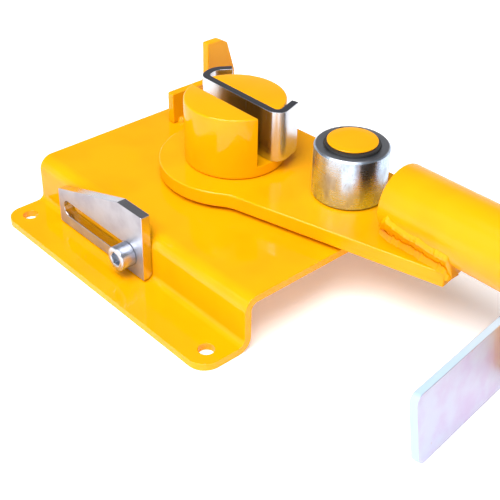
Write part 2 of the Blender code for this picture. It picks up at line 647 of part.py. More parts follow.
def make_foot(coats, rail):
    """The foot plate leans a little and slides on the bench; a lug carries it under the tube."""
    raise_by = FOOT_THICKNESS * math.sin(FOOT_LEAN)
    drop = BENCH + raise_by - TUBE_AXIS_HEIGHT
    frame = add_pivot("foot_frame", rail, (FOOT_REACH, 0, drop), (0, -FOOT_LEAN, FOOT_SKEW))
    half = FOOT_LENGTH / 2
    r = FOOT_CORNER_RADIUS
    outline = rounded([((-half, 0), r), ((half, 0), r), ((half, FOOT_HEIGHT), r),
                       ((-half, FOOT_HEIGHT), r)], BEND_STEPS)
    inner = -FOOT_THICKNESS
    foot = add_piece("lever_foot", slab(outline, inner, 0, SIDE_VIEW), coats["zinc"], frame)

    # The lug stands against the plate's outer side
    near, far = GAP, GAP + LUG_THICKNESS
    side = LUG_WIDTH / 2
    c = LUG_CORNER_RADIUS
    lug_outline = rounded([((-side, LUG_BOTTOM), c), ((side, LUG_BOTTOM), c), ((side, LUG_TOP), 0),
                           ((-side, LUG_TOP), 0)])
    lug = add_piece("foot_lug", slab(lug_outline, near, far, SIDE_VIEW), coats["paint"], frame)
    saddle = turned(rod(TUBE_RADIUS + GAP, FOOT_REACH - LUG_TOP, FOOT_REACH + LUG_TOP), turn=TWIST)
    cut(lug, "cut_saddle", saddle, rail)

    # Holes of the screws, the screws from the inner side, and their nuts on the lug
    hole_radius = FOOT_BOLT_RADIUS + GAP
    spots = [(way * FOOT_BOLT_HALF_PITCH, FOOT_BOLT_HEIGHT) for way in (-1, 1)]
    for piece, name in ((foot, "cut_foot_holes"), (lug, "cut_lug_holes")):
        hole = rod(hole_radius, inner - OVERRUN, far + OVERRUN)
        cut(piece, name, merge(*[moved(turned(hole, SMALL_STEPS, TWIST), 0, y, z) for y, z in spots]), frame)
    head = inner - GAP
    nut_face = far + GAP
    tail = nut_face + FOOT_NUT + FOOT_BOLT_TAIL
    for end, spot in zip(("front", "back"), spots):
        place = (0, *spot)
        bolt = add_piece("foot_bolt_" + end, slab(hexagon(FOOT_BOLT_FLATS), head - FOOT_BOLT_HEAD, head, TWIST),
                         coats["zinc"], frame, place)
        shank = turned(rod(FOOT_BOLT_RADIUS, head - FOOT_BOLT_HEAD / 2, tail), SMALL_STEPS, TWIST)
        cut(bolt, "join_shank_" + end, shank, frame, place, operation="UNION")
        nut = add_piece("foot_nut_" + end, slab(hexagon(FOOT_BOLT_FLATS), nut_face, nut_face + FOOT_NUT, TWIST),
                        coats["zinc"], frame, place)
        bore = turned(rod(hole_radius, far - OVERRUN, tail), SMALL_STEPS, TWIST)
        cut(nut, "cut_nut_" + end, bore, frame, place)

    # A bead on each face of the lug, along the saddle
    root = TUBE_RADIUS + GAP
    rise = TUBE_AXIS_HEIGHT - TUBE_RADIUS - BENCH
    low = LUG_WELD_HALF_ANGLE
    room = [(-side - OVERRUN, LUG_BOTTOM), (side + OVERRUN, LUG_BOTTOM),
            (side + OVERRUN, LUG_TOP + OVERRUN), (-side - OVERRUN, LUG_TOP + OVERRUN)]
    for name, face, way in (("lug_weld_outer", far, 1), ("lug_weld_inner", near, -1)):
        centre = FOOT_REACH + face * math.cos(FOOT_LEAN) - rise * math.tan(FOOT_LEAN)
        bead = [(root, centre - way * LUG_WELD), (root, centre + way * LUG_WELD),
                (root + LUG_WELD / 2, centre + way * LUG_WELD / 2), (root + LUG_WELD, centre - way * LUG_WELD)]
        weld = add_piece(name, turned(bead, LUG_WELD_STEPS, TWIST, 2 * low, -low), coats["paint"], rail)
        cut(weld, "trim_" + name, slab(room, near - GAP, far + GAP, SIDE_VIEW), frame)


def make_stop(coats):
    """The slotted stop slides along the front wall and is held by one screw in a nut."""
    screw = add_pivot("stop_axis", None, (SCREW_X, 0, SCREW_Z))
    right = STOP_LENGTH - STOP_BODY_LEFT
    left = -STOP_BODY_LEFT
    low = STOP_RAISE - SCREW_HEIGHT
    r = STOP_CORNER_RADIUS
    outline = rounded([((left, low), r), ((right, low), r), ((right, low + STOP_TALL_HEIGHT), r),
                       ((right - STOP_HEAD_LENGTH, low + STOP_TALL_HEIGHT), r),
                       ((left, low + STOP_LOW_HEIGHT), r)])
    face = BASE_FRONT + GAP
    plate = add_piece("stop_plate", slab(outline, face, face + STOP_THICKNESS, FRONT_VIEW), coats["zinc"], screw)
    half = STOP_SLOT_HALF_WIDTH
    slot_left = left + STOP_SLOT_LEFT + half
    slot_right = right - STOP_SLOT_RIGHT - half
    slot = arc(Vector((slot_right, 0)), half, -math.pi / 2, math.pi / 2, BEND_STEPS * 2)
    slot += arc(Vector((slot_left, 0)), half, math.pi / 2, math.pi * 1.5, BEND_STEPS * 2)
    cut(plate, "cut_stop_slot", slab(slot, face - OVERRUN, face + STOP_THICKNESS + OVERRUN, FRONT_VIEW), screw)

    # The lower back edge is cut away, clear of the base's bend
    heel = BEND_RADIUS * STOP_HEEL_SHARE
    far = heel + OVERRUN
    corner = [(OVERRUN - face, low - OVERRUN), (OVERRUN - face, low + far),
              (-face - heel - OVERRUN, low - OVERRUN)]
    cut(plate, "cut_stop_heel", slab(corner, left - OVERRUN, right + OVERRUN, SIDE_VIEW), screw)

    under = face + STOP_THICKNESS + GAP
    head = turned([(0, under - SCREW_LENGTH), (SCREW_RADIUS, under - SCREW_LENGTH), (SCREW_RADIUS, under),
                   (SCREW_HEAD_RADIUS, under), (SCREW_HEAD_RADIUS, under + SCREW_HEAD - SCREW_EDGE),
                   (SCREW_HEAD_RADIUS - SCREW_EDGE, under + SCREW_HEAD), (0, under + SCREW_HEAD)],
                  SMALL_STEPS, FORWARD)
    bolt = add_piece("stop_screw", head, coats["zinc"], screw)
    top = under + SCREW_HEAD
    cut(bolt, "cut_socket", slab(hexagon(SOCKET_FLATS), top - SOCKET_DEPTH, top + OVERRUN, FORWARD), screw)
    wall = BASE_FRONT - SHEET - GAP
    nut = add_piece("stop_nut", slab(hexagon(NUT_FLATS), wall - NUT_HEIGHT, wall, FORWARD), coats["zinc"], screw)
    bore = turned(rod(SCREW_RADIUS + GAP, wall - NUT_HEIGHT - OVERRUN, wall + OVERRUN), SMALL_STEPS, FORWARD)
    cut(nut, "cut_stop_nut", bore, screw)


def main():
    clear_scene()
    coats = {
        "paint": look("yellow_paint", (1.0, 0.47, 0.012), 0.25, 0.0),
        "zinc": look("bright_zinc", (0.66, 0.66, 0.70), 0.32, 1.0),
        "steel": look("ground_steel", (0.52, 0.52, 0.53), 0.28, 1.0),
        "bronze": look("bearing_bronze", (0.50, 0.33, 0.16), 0.40, 1.0),
        "black": look("black_spring_steel", (0.03, 0.03, 0.032), 0.42, 1.0),
        "plastic": look("black_plastic", (0.02, 0.02, 0.02), 0.50, 0.0),
    }
    make_base(coats)
    make_post(coats)
    make_former(coats)
    make_fence(coats)
    make_lever(coats)
    make_stop(coats)


main()
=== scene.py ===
"""Bench rebar bender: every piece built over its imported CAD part, with its finish, on a pale floor.

Metres, +Z up. The origin is the middle of the seat that the bar lies on.
"""

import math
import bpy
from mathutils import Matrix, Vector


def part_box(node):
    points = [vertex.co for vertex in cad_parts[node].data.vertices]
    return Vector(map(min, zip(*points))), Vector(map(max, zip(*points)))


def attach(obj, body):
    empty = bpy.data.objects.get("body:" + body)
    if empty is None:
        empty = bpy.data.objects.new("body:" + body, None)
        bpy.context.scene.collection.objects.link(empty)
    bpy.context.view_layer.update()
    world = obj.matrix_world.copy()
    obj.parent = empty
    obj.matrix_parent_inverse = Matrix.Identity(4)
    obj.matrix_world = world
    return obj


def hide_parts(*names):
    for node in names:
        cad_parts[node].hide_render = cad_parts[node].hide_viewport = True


bl_info = {
    "name": "Bench rebar bender",
    "version": (1, 0, 0),
    "blender": (4, 5, 0),
    "location": "3D View > Sidebar > Bender",
    "description": "Builds the pieces of a bench rebar bender and the stage they stand on",
    "category": "Object",
}

import bmesh
import bpy
from bpy.props import FloatProperty, FloatVectorProperty, PointerProperty
from bpy.types import Operator, Panel, PropertyGroup
from mathutils import Euler, Matrix, Vector, noise

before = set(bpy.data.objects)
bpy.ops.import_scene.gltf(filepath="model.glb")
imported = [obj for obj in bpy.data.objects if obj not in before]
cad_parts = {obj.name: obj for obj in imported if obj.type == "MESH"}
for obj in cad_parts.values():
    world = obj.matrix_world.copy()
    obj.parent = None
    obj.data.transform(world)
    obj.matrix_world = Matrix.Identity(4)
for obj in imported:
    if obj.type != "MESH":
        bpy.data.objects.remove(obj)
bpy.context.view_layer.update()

# Gap between pieces that touch, overrun of cutting shapes, and distance within which points are merged
GAP = 0.0003
OVERRUN = 0.002
MERGE = 0.000002
# Steps of round forms, by size, and of bends
FINE = 160
ROUND = 128
SMALL = 48
COARSE = 32
BEND = 12
# Edges sharper than this are softened, or stay sharp
SHARP = math.radians(32.0)
# Height of a plain weld bead's middle, as a share of its legs
CROWN = 0.66

# Width of the camera's sensor that the focal length goes with, in millimetres
SENSOR = 36.0

# Turns for shapes made along Z: to lie along +X, or along -Y
ALONG = Matrix.Rotation(math.radians(90.0), 4, "Y")
FORWARD = Matrix.Rotation(math.radians(90.0), 4, "X")
# Turns for outlines: drawn in Y and Z and raised along +X, or drawn in X and Z and raised along -Y
SIDE_VIEW = Matrix(((0, 0, 1, 0), (1, 0, 0, 0), (0, 1, 0, 0), (0, 0, 0, 1)))
FRONT_VIEW = Matrix(((1, 0, 0, 0), (0, 0, -1, 0), (0, 1, 0, 0), (0, 0, 0, 1)))


# Settings

def length(name, description, default):
    return FloatProperty(name=name, description=description, default=default, unit="LENGTH", precision=5)


def angle(name, description, degrees):
    return FloatProperty(name=name, description=description, default=math.radians(degrees), subtype="ANGLE")


def colour(name, description, default):
    return FloatVectorProperty(name=name, description=description, default=default, min=0.0, max=1.0,
                               subtype="COLOR")


class BenderColours(PropertyGroup):
    enamel: colour("Enamel", "Yellow enamel of the base, post, lever and tube", (0.78, 0.338, 0.0010))
    enamel_deep: colour("Deep enamel", "Enamel where it lies thicker", (0.76, 0.308, 0.0008))
    zinc: colour("Zinc", "Plated stop and screws", (0.42, 0.43, 0.48))
    zinc_satin: colour("Satin zinc", "Duller plating of the foot plate", (0.46, 0.50, 0.64))
    zinc_cloud: colour("Zinc clouds", "Darker clouds in the plating", (0.35, 0.345, 0.40))
    steel: colour("Steel", "Turned roller", (0.55, 0.67, 0.83))
    former: colour("Former steel", "Ground sides of the former", (0.68, 0.70, 0.76))
    scale: colour("Scale", "Dull scale on the former's edge", (0.105, 0.108, 0.135))
    bronze: colour("Bronze", "Bushes and thrust washer", (0.42, 0.26, 0.11))
    black: colour("Black steel", "Retaining ring", (0.018, 0.018, 0.02))
    plastic: colour("Plastic", "Plug in the tube's far end", (0.02, 0.02, 0.021))
    floor: colour("Floor", "Floor under the bender", (0.93, 0.93, 0.93))


class BenderBase(PropertyGroup):
    sheet: length("Sheet", "Thickness of the bent sheet", 0.005)
    front: length("Front wall", "Front wall's outer face, from the post's axis", 0.0892)
    back: length("Back wall", "Back wall's outer face, from the post's axis", 0.0680)
    bend: length("Bend radius", "Inside radius of the bends", 0.0045)
    corner: length("Corner radius", "Radius of the flanges' corners", 0.012)
    hole: length("Hole radius", "Radius of the bench screws' holes", 0.005)
    hole_end: length("Hole to end", "From a hole to the base's end", 0.0124)
    hole_edge: length("Hole to edge", "From a hole to the flange's edge", 0.0135)
    rim: length("Rim", "Width of the softened edges", 0.0007)


class BenderPost(PropertyGroup):
    slot_front: length("Slot front", "Front side of the bar's slot, from the axis", 0.0093)
    spigot: length("Spigot radius", "Radius of the spigot that the lever turns on", 0.021)
    rim: length("Rim", "Width of the rounded edges", 0.0013)
    bolt: length("Bolt radius", "Radius of the screw that holds the post", 0.008)
    bolt_flats: length("Bolt flats", "Width across the bolt head's flats", 0.024)
    bolt_head: length("Bolt head", "Height of the bolt's head", 0.010)


class BenderFormer(PropertyGroup):
    thickness: length("Thickness", "Thickness of the former's bar", 0.005)
    face: length("Face", "Front face, from the post's axis", 0.0020)
    left: length("Left half", "Straight front, from the axis to the left bend's corner", 0.0366)
    right: length("Right half", "Straight front, from the axis to the right bend's corner", 0.0361)
    right_leg: length("Right leg", "Length of the leg behind the right bend", 0.0205)
    right_way: angle("Right direction", "Direction of the right leg", 107.1)
    left_leg: length("Left leg", "Length between the two left bends", 0.0120)
    left_turn: angle("Left bend", "Turn of the left bend", 76.0)
    curl: length("Curl", "Length of the curled end", 0.0121)
    curl_turn: angle("Curl bend", "Turn of the curl", 47.2)
    rim: length("Rim", "Width of the softened edges", 0.00045)


class BenderFence(PropertyGroup):
    low_length: length("Low length", "Length of the low part", 0.0325)
    low_height: length("Low height", "Height of the low part", 0.0230)
    top_length: length("Top length", "Length of the flat top", 0.0120)
    corner_length: length("Corner length", "Length of the sloped corner", 0.0063)
    corner_drop: length("Corner drop", "Drop of the sloped corner", 0.0035)
    side_drop: length("Side drop", "Drop of the sloped side", 0.0229)
    heel_length: length("Heel length", "Length cut from the heel", 0.0120)
    heel_height: length("Heel height", "Height cut from the heel", 0.0130)
    weld: length("Weld", "Leg of the weld beads", 0.0035)
    rim: length("Rim", "Width of the softened edges", 0.0006)


class BenderLever(PropertyGroup):
    ring: length("Ring radius", "Radius of the ring round the post", 0.050)
    front: length("Front distance", "From the post's axis to the front edge's line", 0.04347)
    front_way: angle("Front direction", "Direction of the front edge", 14.5)
    fillet: length("Front fillet", "Radius between the ring and the front edge", 0.025)
    back_shift: length("Back shift", "Shift of the back arc's centre", 0.005)
    back_raise: length("Back raise", "Raise of the back arc's centre", 0.0023)
    back_way: angle("Back direction", "Direction of the back edge", 3.0)
    back_length: length("Back length", "Length of the back edge", 0.0840)
    nose: length("Nose reach", "From the post's axis to the nose, along the tube", 0.1765)
    slant: length("Nose slant", "How far the nose's end slants back", 0.0038)
    half: length("Nose half width", "From the tube's line to the nose's back corner", 0.0160)
    nose_corner: length("Nose corner", "Radius of the nose's front corner", 0.0015)
    corner: length("Corner radius", "Radius of the outline's corners", 0.0050)
    rim: length("Rim", "Width of the rounded edges", 0.0011)


class BenderRoller(PropertyGroup):
    pin: length("Pin radius", "Radius of the roller's pin", 0.0158)
    tail: length("Pin tail radius", "Radius of the pin in the lever", 0.011)
    chamfer: length("Chamfer", "Chamfer of the roller's edges", 0.0012)
    clip: length("Clip width", "Widest part of the retaining ring", 0.0030)
    shift: length("Clip taper", "How much narrower the ring grows towards its opening", 0.0012)
    ear: length("Ear", "How far the ring's ears stand out", 0.0024)
    opening: angle("Opening", "Width of the ring's opening", 30.0)
    direction: angle("Direction", "Direction of the ring's opening", 137.0)


class BenderTube(PropertyGroup):
    radius: length("Radius", "Outside radius of the handle tube", 0.0212)
    wall: length("Wall", "Thickness of the tube's wall", 0.0032)
    way: angle("Direction", "Direction of the tube", 1.27)
    offset: length("Offset", "From the post's axis to the tube's line", 0.012985)
    start: length("Start", "Near end of the tube", 0.1284)
    end: length("End", "Far end of the tube", 0.520)
    bead_start: length("Bead start", "Where the weld beads start", 0.1235)
    root: length("Bead root", "Inside of the bead on the lever", 0.0078)
    toe: length("Bead toe", "Outside of the bead on the lever", 0.0112)
    lip: length("Bead lip", "Height of the lower run on the lever", 0.0030)
    groove: length("Bead groove", "How deep the groove between the runs is", 0.0007)
    ripple: length("Ripple", "Distance between the bead's ripples", 0.0034)
    plug: length("Plug flange", "Thickness of the plug's flange", 0.003)


class BenderFoot(PropertyGroup):
    reach: length("Reach", "From the post's axis to the foot plate, along the tube", 0.2246)
    thickness: length("Thickness", "Thickness of the foot plate", 0.005)
    length_over: length("Length", "Length of the foot plate", 0.2008)
    height: length("Height", "Height of the foot plate", 0.0424)
    skew: angle("Skew", "Turn of the foot plate from the tube's square", 4.79)
    lean: angle("Lean", "Lean of the foot plate", 9.05)
    corner: length("Corner radius", "Radius of the foot plate's corners", 0.005)
    lug: length("Lug thickness", "Thickness of the lug", 0.008)
    lug_width: length("Lug width", "Width of the lug", 0.040)
    lug_low: length("Lug underside", "Height of the lug's underside on the foot", 0.008)
    lug_top: length("Lug top", "Height of the lug's top on the foot", 0.058)
    bolt: length("Bolt radius", "Radius of the foot plate's screws", 0.004)
    flats: length("Bolt flats", "Width across the screws' flats", 0.013)
    head: length("Bolt head", "Height of the screws' heads", 0.0053)
    nut: length("Nut", "Height of the nuts", 0.0065)
    pitch: length("Half pitch", "Half the distance between the screws", 0.0115)
    level: length("Bolt level", "Height of the screws on the foot", 0.024)
    rim: length("Rim", "Width of the softened edges", 0.0005)


class BenderStop(PropertyGroup):
    flat: length("Flat top", "Length of the tall end's flat top", 0.0240)
    low: length("Low height", "Height of the stop's low end", 0.0247)
    slot: length("Slot half width", "Half width of the slot", 0.0056)
    slot_left: length("Slot left", "From the low end to the slot", 0.0053)
    slot_right: length("Slot right", "From the tall end to the slot", 0.0082)
    heel: length("Heel", "Lower back edge cut off", 0.00297)
    screw: length("Screw radius", "Radius of the screw's thread", 0.005)
    head: length("Head radius", "Radius of the screw's head", 0.008)
    head_length: length("Head length", "Length of the screw's head", 0.010)
    socket: length("Socket flats", "Width across the socket's flats", 0.008)
    depth: length("Socket depth", "Depth of the socket", 0.005)
    nut: length("Nut flats", "Width across the nut's flats", 0.016)
    rim: length("Rim", "Width of the softened edges", 0.0004)


class BenderStage(PropertyGroup):
    camera: FloatVectorProperty(name="Camera", description="Place of the camera", unit="LENGTH",
                                default=(0.44294, -0.39287, 0.33088))
    turn: FloatVectorProperty(name="Camera turn", description="Turn of the camera", subtype="EULER",
                              default=[math.radians(d) for d in (55.069, -0.888, 47.923)])
    lens: FloatProperty(name="Lens", description="Focal length in millimetres", default=74.03)
    shift: FloatVectorProperty(name="Shift", description="Shift of the picture", size=2,
                               default=(-0.0013, -0.0056), precision=4)
    walls: FloatProperty(name="Walls", description="Strength of the light from the white walls", default=1.1)
    ceiling: FloatProperty(name="Ceiling", description="Strength of the light from above", default=0.2)
    overhead: FloatProperty(name="Overhead", description="Power of the softbox overhead in watts", default=43.0)
    front: FloatProperty(name="Front", description="Power of the softbox in front in watts", default=2.0)
    side: FloatProperty(name="Side", description="Power of the softbox at the side in watts", default=5.0)


# Shader maths

class Value:
    """A shader socket that can be used in sums."""

    def __init__(self, nodes, socket):
        self.nodes, self.socket = nodes, socket

    def sum(self, operation, *values):
        return self.nodes.node("ShaderNodeMath", dict(enumerate(values)), operation=operation)

    def __add__(self, other):
        return self.sum("ADD", self, other)

    def __sub__(self, other):
        return self.sum("SUBTRACT", self, other)

    def __rsub__(self, other):
        return self.sum("SUBTRACT", other, self)

    def __mul__(self, other):
        return self.sum("MULTIPLY", self, other)

    def __gt__(self, other):
        return self.sum("GREATER_THAN", self, other)

    __radd__, __rmul__ = __add__, __mul__


class Nodes:
    """A node tree, and the one way in which nodes are added to it."""

    def __init__(self, tree):
        self.tree = tree

    def put(self, socket, value):
        """Links a value to a socket, or sets the socket to a constant."""
        if isinstance(value, Value):
            self.tree.links.new(value.socket, socket)
        else:
            socket.default_value = value

    def node(self, kind, values=None, output=0, **settings):
        """A node of a kind, with its settings set first, then its sockets' values or links."""
        made = self.tree.nodes.new(kind)
        for name, setting in settings.items():
            setattr(made, name, setting)
        for name, value in (values or {}).items():
            self.put(made.inputs[name], value)
        return Value(self, made.outputs[output])

    def axis(self, name, kind="Object"):
        """One axis of a place or direction."""
        return self.node("ShaderNodeSeparateXYZ", {0: self.node("ShaderNodeTexCoord", output=kind)}, name)

    def step(self, value, low, high, first=0.0, last=1.0):
        """First below low, last above high and smooth between them."""
        return self.node("ShaderNodeMapRange", {"Value": value, "From Min": low, "From Max": high, "To Min": first,
                                                "To Max": last}, "Result", interpolation_type="SMOOTHSTEP")


class Finish(Nodes):
    """A material made from nodes round one Principled shader."""

    def __init__(self, name):
        material = bpy.data.materials.new(name)
        material.use_nodes = True
        super().__init__(material.node_tree)
        self.tints = bpy.context.scene.bender_colours
        self.shader = self.tree.nodes["Principled BSDF"]
        self.place = self.node("ShaderNodeTexCoord", output="Object")

    def stretched(self, *scales):
        """Places in the piece, stretched by a scale for each axis."""
        return self.node("ShaderNodeVectorMath", {0: self.place, 1: scales}, operation="MULTIPLY")

    def grain(self, scales, detail=3.0):
        """Noise with one scale, or with a scale for each axis."""
        scales = scales if isinstance(scales, tuple) else (scales,) * 3
        inputs = {"Vector": self.stretched(*scales), "Scale": 1.0, "Detail": detail}
        return self.node("ShaderNodeTexNoise", inputs, "Fac")

    def patches(self, scales, detail, low, high):
        """Grain drawn out into patches."""
        return self.step(self.grain(scales, detail), low, high)

    def specks(self, scale, size):
        """Small round specks, far apart."""
        spots = self.node("ShaderNodeTexVoronoi", {"Vector": self.place, "Scale": scale}, "Distance")
        few = self.grain(scale / 3, 1.0) > 0.60
        return (1 - self.step(spots, size * 0.6, size)) * few

    def mix(self, factor, first, second):
        first, second = (tint if isinstance(tint, Value) else (*tint, 1.0) for tint in (first, second))
        return self.node("ShaderNodeMix", {0: factor, 6: first, 7: second}, 2, data_type="RGBA")

    def feed(self, **inputs):
        """Links or sets the shader's sockets, which are named with _ for a space."""
        for name, value in inputs.items():
            self.put(self.shader.inputs[name.replace("_", " ")], value)

    def bump(self, value, distance, strength):
        relief = {"Height": value, "Distance": distance, "Strength": strength}
        self.feed(Normal=self.node("ShaderNodeBump", relief, "Normal"))


def finished(look):
    """The material of a finish, made the first time it is asked for."""
    name = look.__name__
    if name not in bpy.data.materials:
        look(Finish(name))
    return bpy.data.materials[name]


# Finishes

def yellow_enamel(f, bore=None, gloss=0.05):
    """Glossy enamel: orange peel, a little uneven in depth, with a few dark specks. Inside a bore it is bare and
    painted near black as painted shade.
    """
    paint = f.mix(f.patches(26, 2.0, 0.35, 0.7), f.tints.enamel, f.tints.enamel_deep)
    paint = f.mix(f.specks(150.0, 0.035) * 0.8, paint, (0.25, 0.06, 0.0))
    if bore:
        # Inside the bore the colour goes near black: bare steel, darkened further as painted shade of the tube's dark
        # inside
        across = f.node("ShaderNodeVectorMath", {0: f.stretched(0, 1, 1)}, "Value", operation="LENGTH")
        paint = f.mix(f.step(across, bore, bore + 0.0004), (0.035, 0.026, 0.018), paint)
    f.feed(Base_Color=paint, Roughness=0.30 + 0.12 * f.grain(90), Specular_IOR_Level=0.0, Coat_Roughness=gloss,
           Coat_IOR=1.45, Coat_Weight=0.62 - 0.2 * f.patches(45, 3.0, 0.55, 0.8))
    f.bump(f.grain(420, 2.0), 0.00003, 0.35)


def tube_enamel(f):
    """The tube's enamel, which leaves its bore bare and painted near black as painted shade of the tube's dark inside.
    """
    tube = bpy.context.scene.bender_tube
    yellow_enamel(f, tube.radius - tube.wall + 0.0003, 0.2)


def satin_zinc(f):
    """Duller zinc of the foot plate: pale clouds, and its cut edges painted a pale blue, less metallic colour as a
    painted reflection.
    """
    thick = bpy.context.scene.bender_foot.thickness
    across = f.axis("X")
    # The cut edges between the two faces get a pale blue, less metallic colour: a painted bright reflection
    rim = f.step(across, 0.0002 - thick, 0.0005 - thick) * (1.0 - f.step(across, -0.0005, -0.0002))
    fine = f.grain(300, 3.0)
    tint = f.mix(f.patches(60, 4.0, 0.35, 0.7), f.tints.zinc_satin, (0.45, 0.41, 0.60))
    tint = f.mix(f.specks(110.0, 0.1) * 0.45, tint, (0.46, 0.33, 0.38))
    tint = f.mix(f.specks(300.0, 0.08) * 0.5, tint, (0.30, 0.30, 0.36))
    f.feed(Base_Color=f.mix(rim, tint, (0.40, 0.55, 0.70)), Metallic=0.75 - 0.7 * rim, Roughness=0.40 + 0.10 * fine)
    f.bump(fine, 0.00003, 0.2)


def zinc_plating(f):
    """Bright zinc over ground steel: cool clouds and fine grinding lines."""
    facing = f.axis("Y", "Normal")
    # The stop's broad faces are ground dull, its cut edges are bright
    cut = 1.0 - f.step(facing * facing, 0.5, 0.8)
    clouds = f.patches(75, 3.0, 0.38, 0.72)
    lines = f.grain((60, 900, 2600), 2.0)
    f.feed(Base_Color=f.mix(cut, f.mix(clouds, f.tints.zinc, f.tints.zinc_cloud), (0.62, 0.62, 0.68)),
           Metallic=0.8 + 0.2 * cut, Roughness=0.34 + 0.10 * lines + 0.06 * clouds - 0.26 * cut)
    f.bump(lines, 0.00002, 0.25)


def bright_screw(f):
    """Bright plated screw, with faint turning lines and a blue cast."""
    lines = f.grain((200, 200, 2200), 2.0)
    f.feed(Base_Color=f.mix(f.grain(300), f.tints.zinc, (0.66, 0.72, 0.82)), Metallic=1.0,
           Roughness=0.24 + 0.12 * lines)
    f.bump(lines, 0.00002, 0.15)


def turned_steel(f):
    """Turned roller: lines round it, handling marks, and dull grey ends."""
    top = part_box("roller_sleeve")[1].z
    lines = f.grain((70, 70, 3600), 2.0)
    wear = f.patches((160, 160, 90), 4.0, 0.42, 0.75)
    marks = f.patches((700, 700, 220), 3.0, 0.60, 0.74)
    end = f.step(f.axis("Z"), top - 0.0006, top - 0.0002)
    side = f.mix(marks * 0.45, f.mix(wear * 0.8, f.tints.steel, (0.33, 0.37, 0.43)), (0.20, 0.16, 0.14))
    f.feed(Base_Color=f.mix(end, side, (0.30, 0.31, 0.345)), Metallic=1.0, Anisotropic=0.4, Anisotropic_Rotation=0.25,
           Roughness=0.22 + 0.10 * lines + 0.06 * wear + 0.14 * end)
    f.bump(lines, 0.00003, 0.3)


def former_steel(f):
    """Former's bar: grinding lines up its sides, dark scale on its edge, and painted shade on the length inside the
    slot.
    """
    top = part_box("bar_former")[1].z
    lines = f.grain((2400, 2400, 45), 2.0)
    clouds = f.patches((60, 60, 30), 3.0, 0.35, 0.7)
    edge = f.step(f.axis("Z"), top - 0.0003, top - 0.0001)
    # The length inside the slot is darkened as painted shade
    along = f.axis("X")
    painted_slot_shade = f.step(along, -0.030, -0.004) * (1.0 - f.step(along, 0.020, 0.026))
    side = f.mix(painted_slot_shade * 0.65, f.mix(clouds * 0.5, f.tints.former, (0.50, 0.50, 0.52)), (0.14, 0.14, 0.13))
    f.feed(Base_Color=f.mix(edge, side, f.tints.scale), Metallic=1.0, Roughness=0.17 + 0.14 * lines + 0.14 * edge)
    f.bump(lines, 0.00003, 0.3)


def bearing_bronze(f):
    """Bronze with faint turning lines."""
    lines = f.grain((150, 150, 2500), 2.0)
    f.feed(Base_Color=f.mix(f.grain(200), f.tints.bronze, (0.42, 0.24, 0.10)), Metallic=1.0,
           Roughness=0.28 + 0.2 * lines)
    f.bump(lines, 0.00002, 0.2)


def black_spring_steel(f):
    """Blackened ring, worn in spots."""
    worn = f.patches(500, 3.0, 0.55, 0.8)
    f.feed(Base_Color=f.mix(worn, f.tints.black, (0.07, 0.08, 0.085)), Metallic=0.6, Roughness=0.30 + 0.2 * worn)
    f.bump(f.grain(900, 2.0), 0.00002, 0.2)


def moulded_plastic(f):
    """Black plastic with a fine grain."""
    grain = f.grain(1400, 2.0)
    f.feed(Base_Color=f.mix(grain, f.tints.plastic, (0.035, 0.035, 0.037)), IOR=1.46, Roughness=0.42 + 0.2 * grain)
    f.bump(grain, 0.00005, 0.3)


def floor_paper(f):
    """White paper, lit a little from below."""
    cloud = f.grain(3, 2.0)
    paper = f.mix(cloud, f.tints.floor, [min(1.0, c + 0.02) for c in f.tints.floor])
    f.feed(Base_Color=paper, Emission_Color=paper, Emission_Strength=0.22, Specular_IOR_Level=0.0,
           Roughness=0.7 + 0.2 * cloud)


# Outlines

def polar(radius, way):
    return Vector((radius * math.cos(way), radius * math.sin(way)))


def arc(centre, radius, start, end, steps):
    """Points of an arc, both ends counted."""
    return [centre + polar(radius, start + (end - start) * i / steps) for i in range(steps + 1)]


def rounded(corners, steps=BEND):
    """A closed outline through corners: (x, y), or (x, y, radius) where one is rounded as far as it can be."""
    points = []
    for i, (x, y, *radius) in enumerate(corners):
        corner = Vector((x, y))
        before = Vector(corners[i - 1][:2]) - corner
        after = Vector(corners[(i + 1) % len(corners)][:2]) - corner
        if not any(radius):
            points.append(corner)
            continue
        half = before.angle(after) / 2
        reach = min(radius[0] / math.tan(half), before.length / 2, after.length / 2)
        radius = reach * math.tan(half)
        middle = corner + (before.normalized() + after.normalized()).normalized() * (radius / math.sin(half))
        first = corner + before.normalized() * reach - middle
        sweep = first.angle_signed(corner + after.normalized() * reach - middle)
        start = math.atan2(first.y, first.x)
        points += arc(middle, radius, start, start - sweep, steps)
    return points


def oblong(left, right, low, high, radius, steps=BEND):
    """A rectangle with rounded corners."""
    return rounded([(x, y, radius) for x, y in ((left, low), (right, low), (right, high), (left, high))], steps)


def bent_strip(corners, radii, thickness, steps=BEND):
    """Section of a bent sheet, whose middle line runs through the corners."""
    middle = []
    corners = [Vector(c) for c in corners]
    for i, corner in enumerate(corners):
        ahead = corners[min(i + 1, len(corners) - 1)] - corner
        behind = corner - corners[max(i - 1, 0)]
        if not behind.length or not ahead.length:
            along = (ahead if ahead.length else behind).normalized()
            middle.append((corner, Vector((-along.y, along.x))))
            continue
        turn = -behind.angle_signed(ahead)
        way = math.copysign(1, turn)
        radius = radii[i - 1] + thickness / 2
        along = behind.normalized()
        normal = Vector((-along.y, along.x))
        centre = corner - along * radius * math.tan(abs(turn) / 2) + normal * way * radius
        for step in range(steps + 1):
            spun = Matrix.Rotation(turn * step / steps, 2) @ normal
            middle.append((centre - spun * way * radius, spun))
    left = [point + normal * thickness / 2 for point, normal in middle]
    right = [point - normal * thickness / 2 for point, normal in middle]
    return left + right[::-1]


def hexagon(flats):
    return [polar(flats / math.sqrt(3), math.tau * i / 6) for i in range(6)]


# Solid shapes

def turned(shape, turn):
    if turn:
        bmesh.ops.transform(shape, matrix=turn, verts=shape.verts)
    return shape


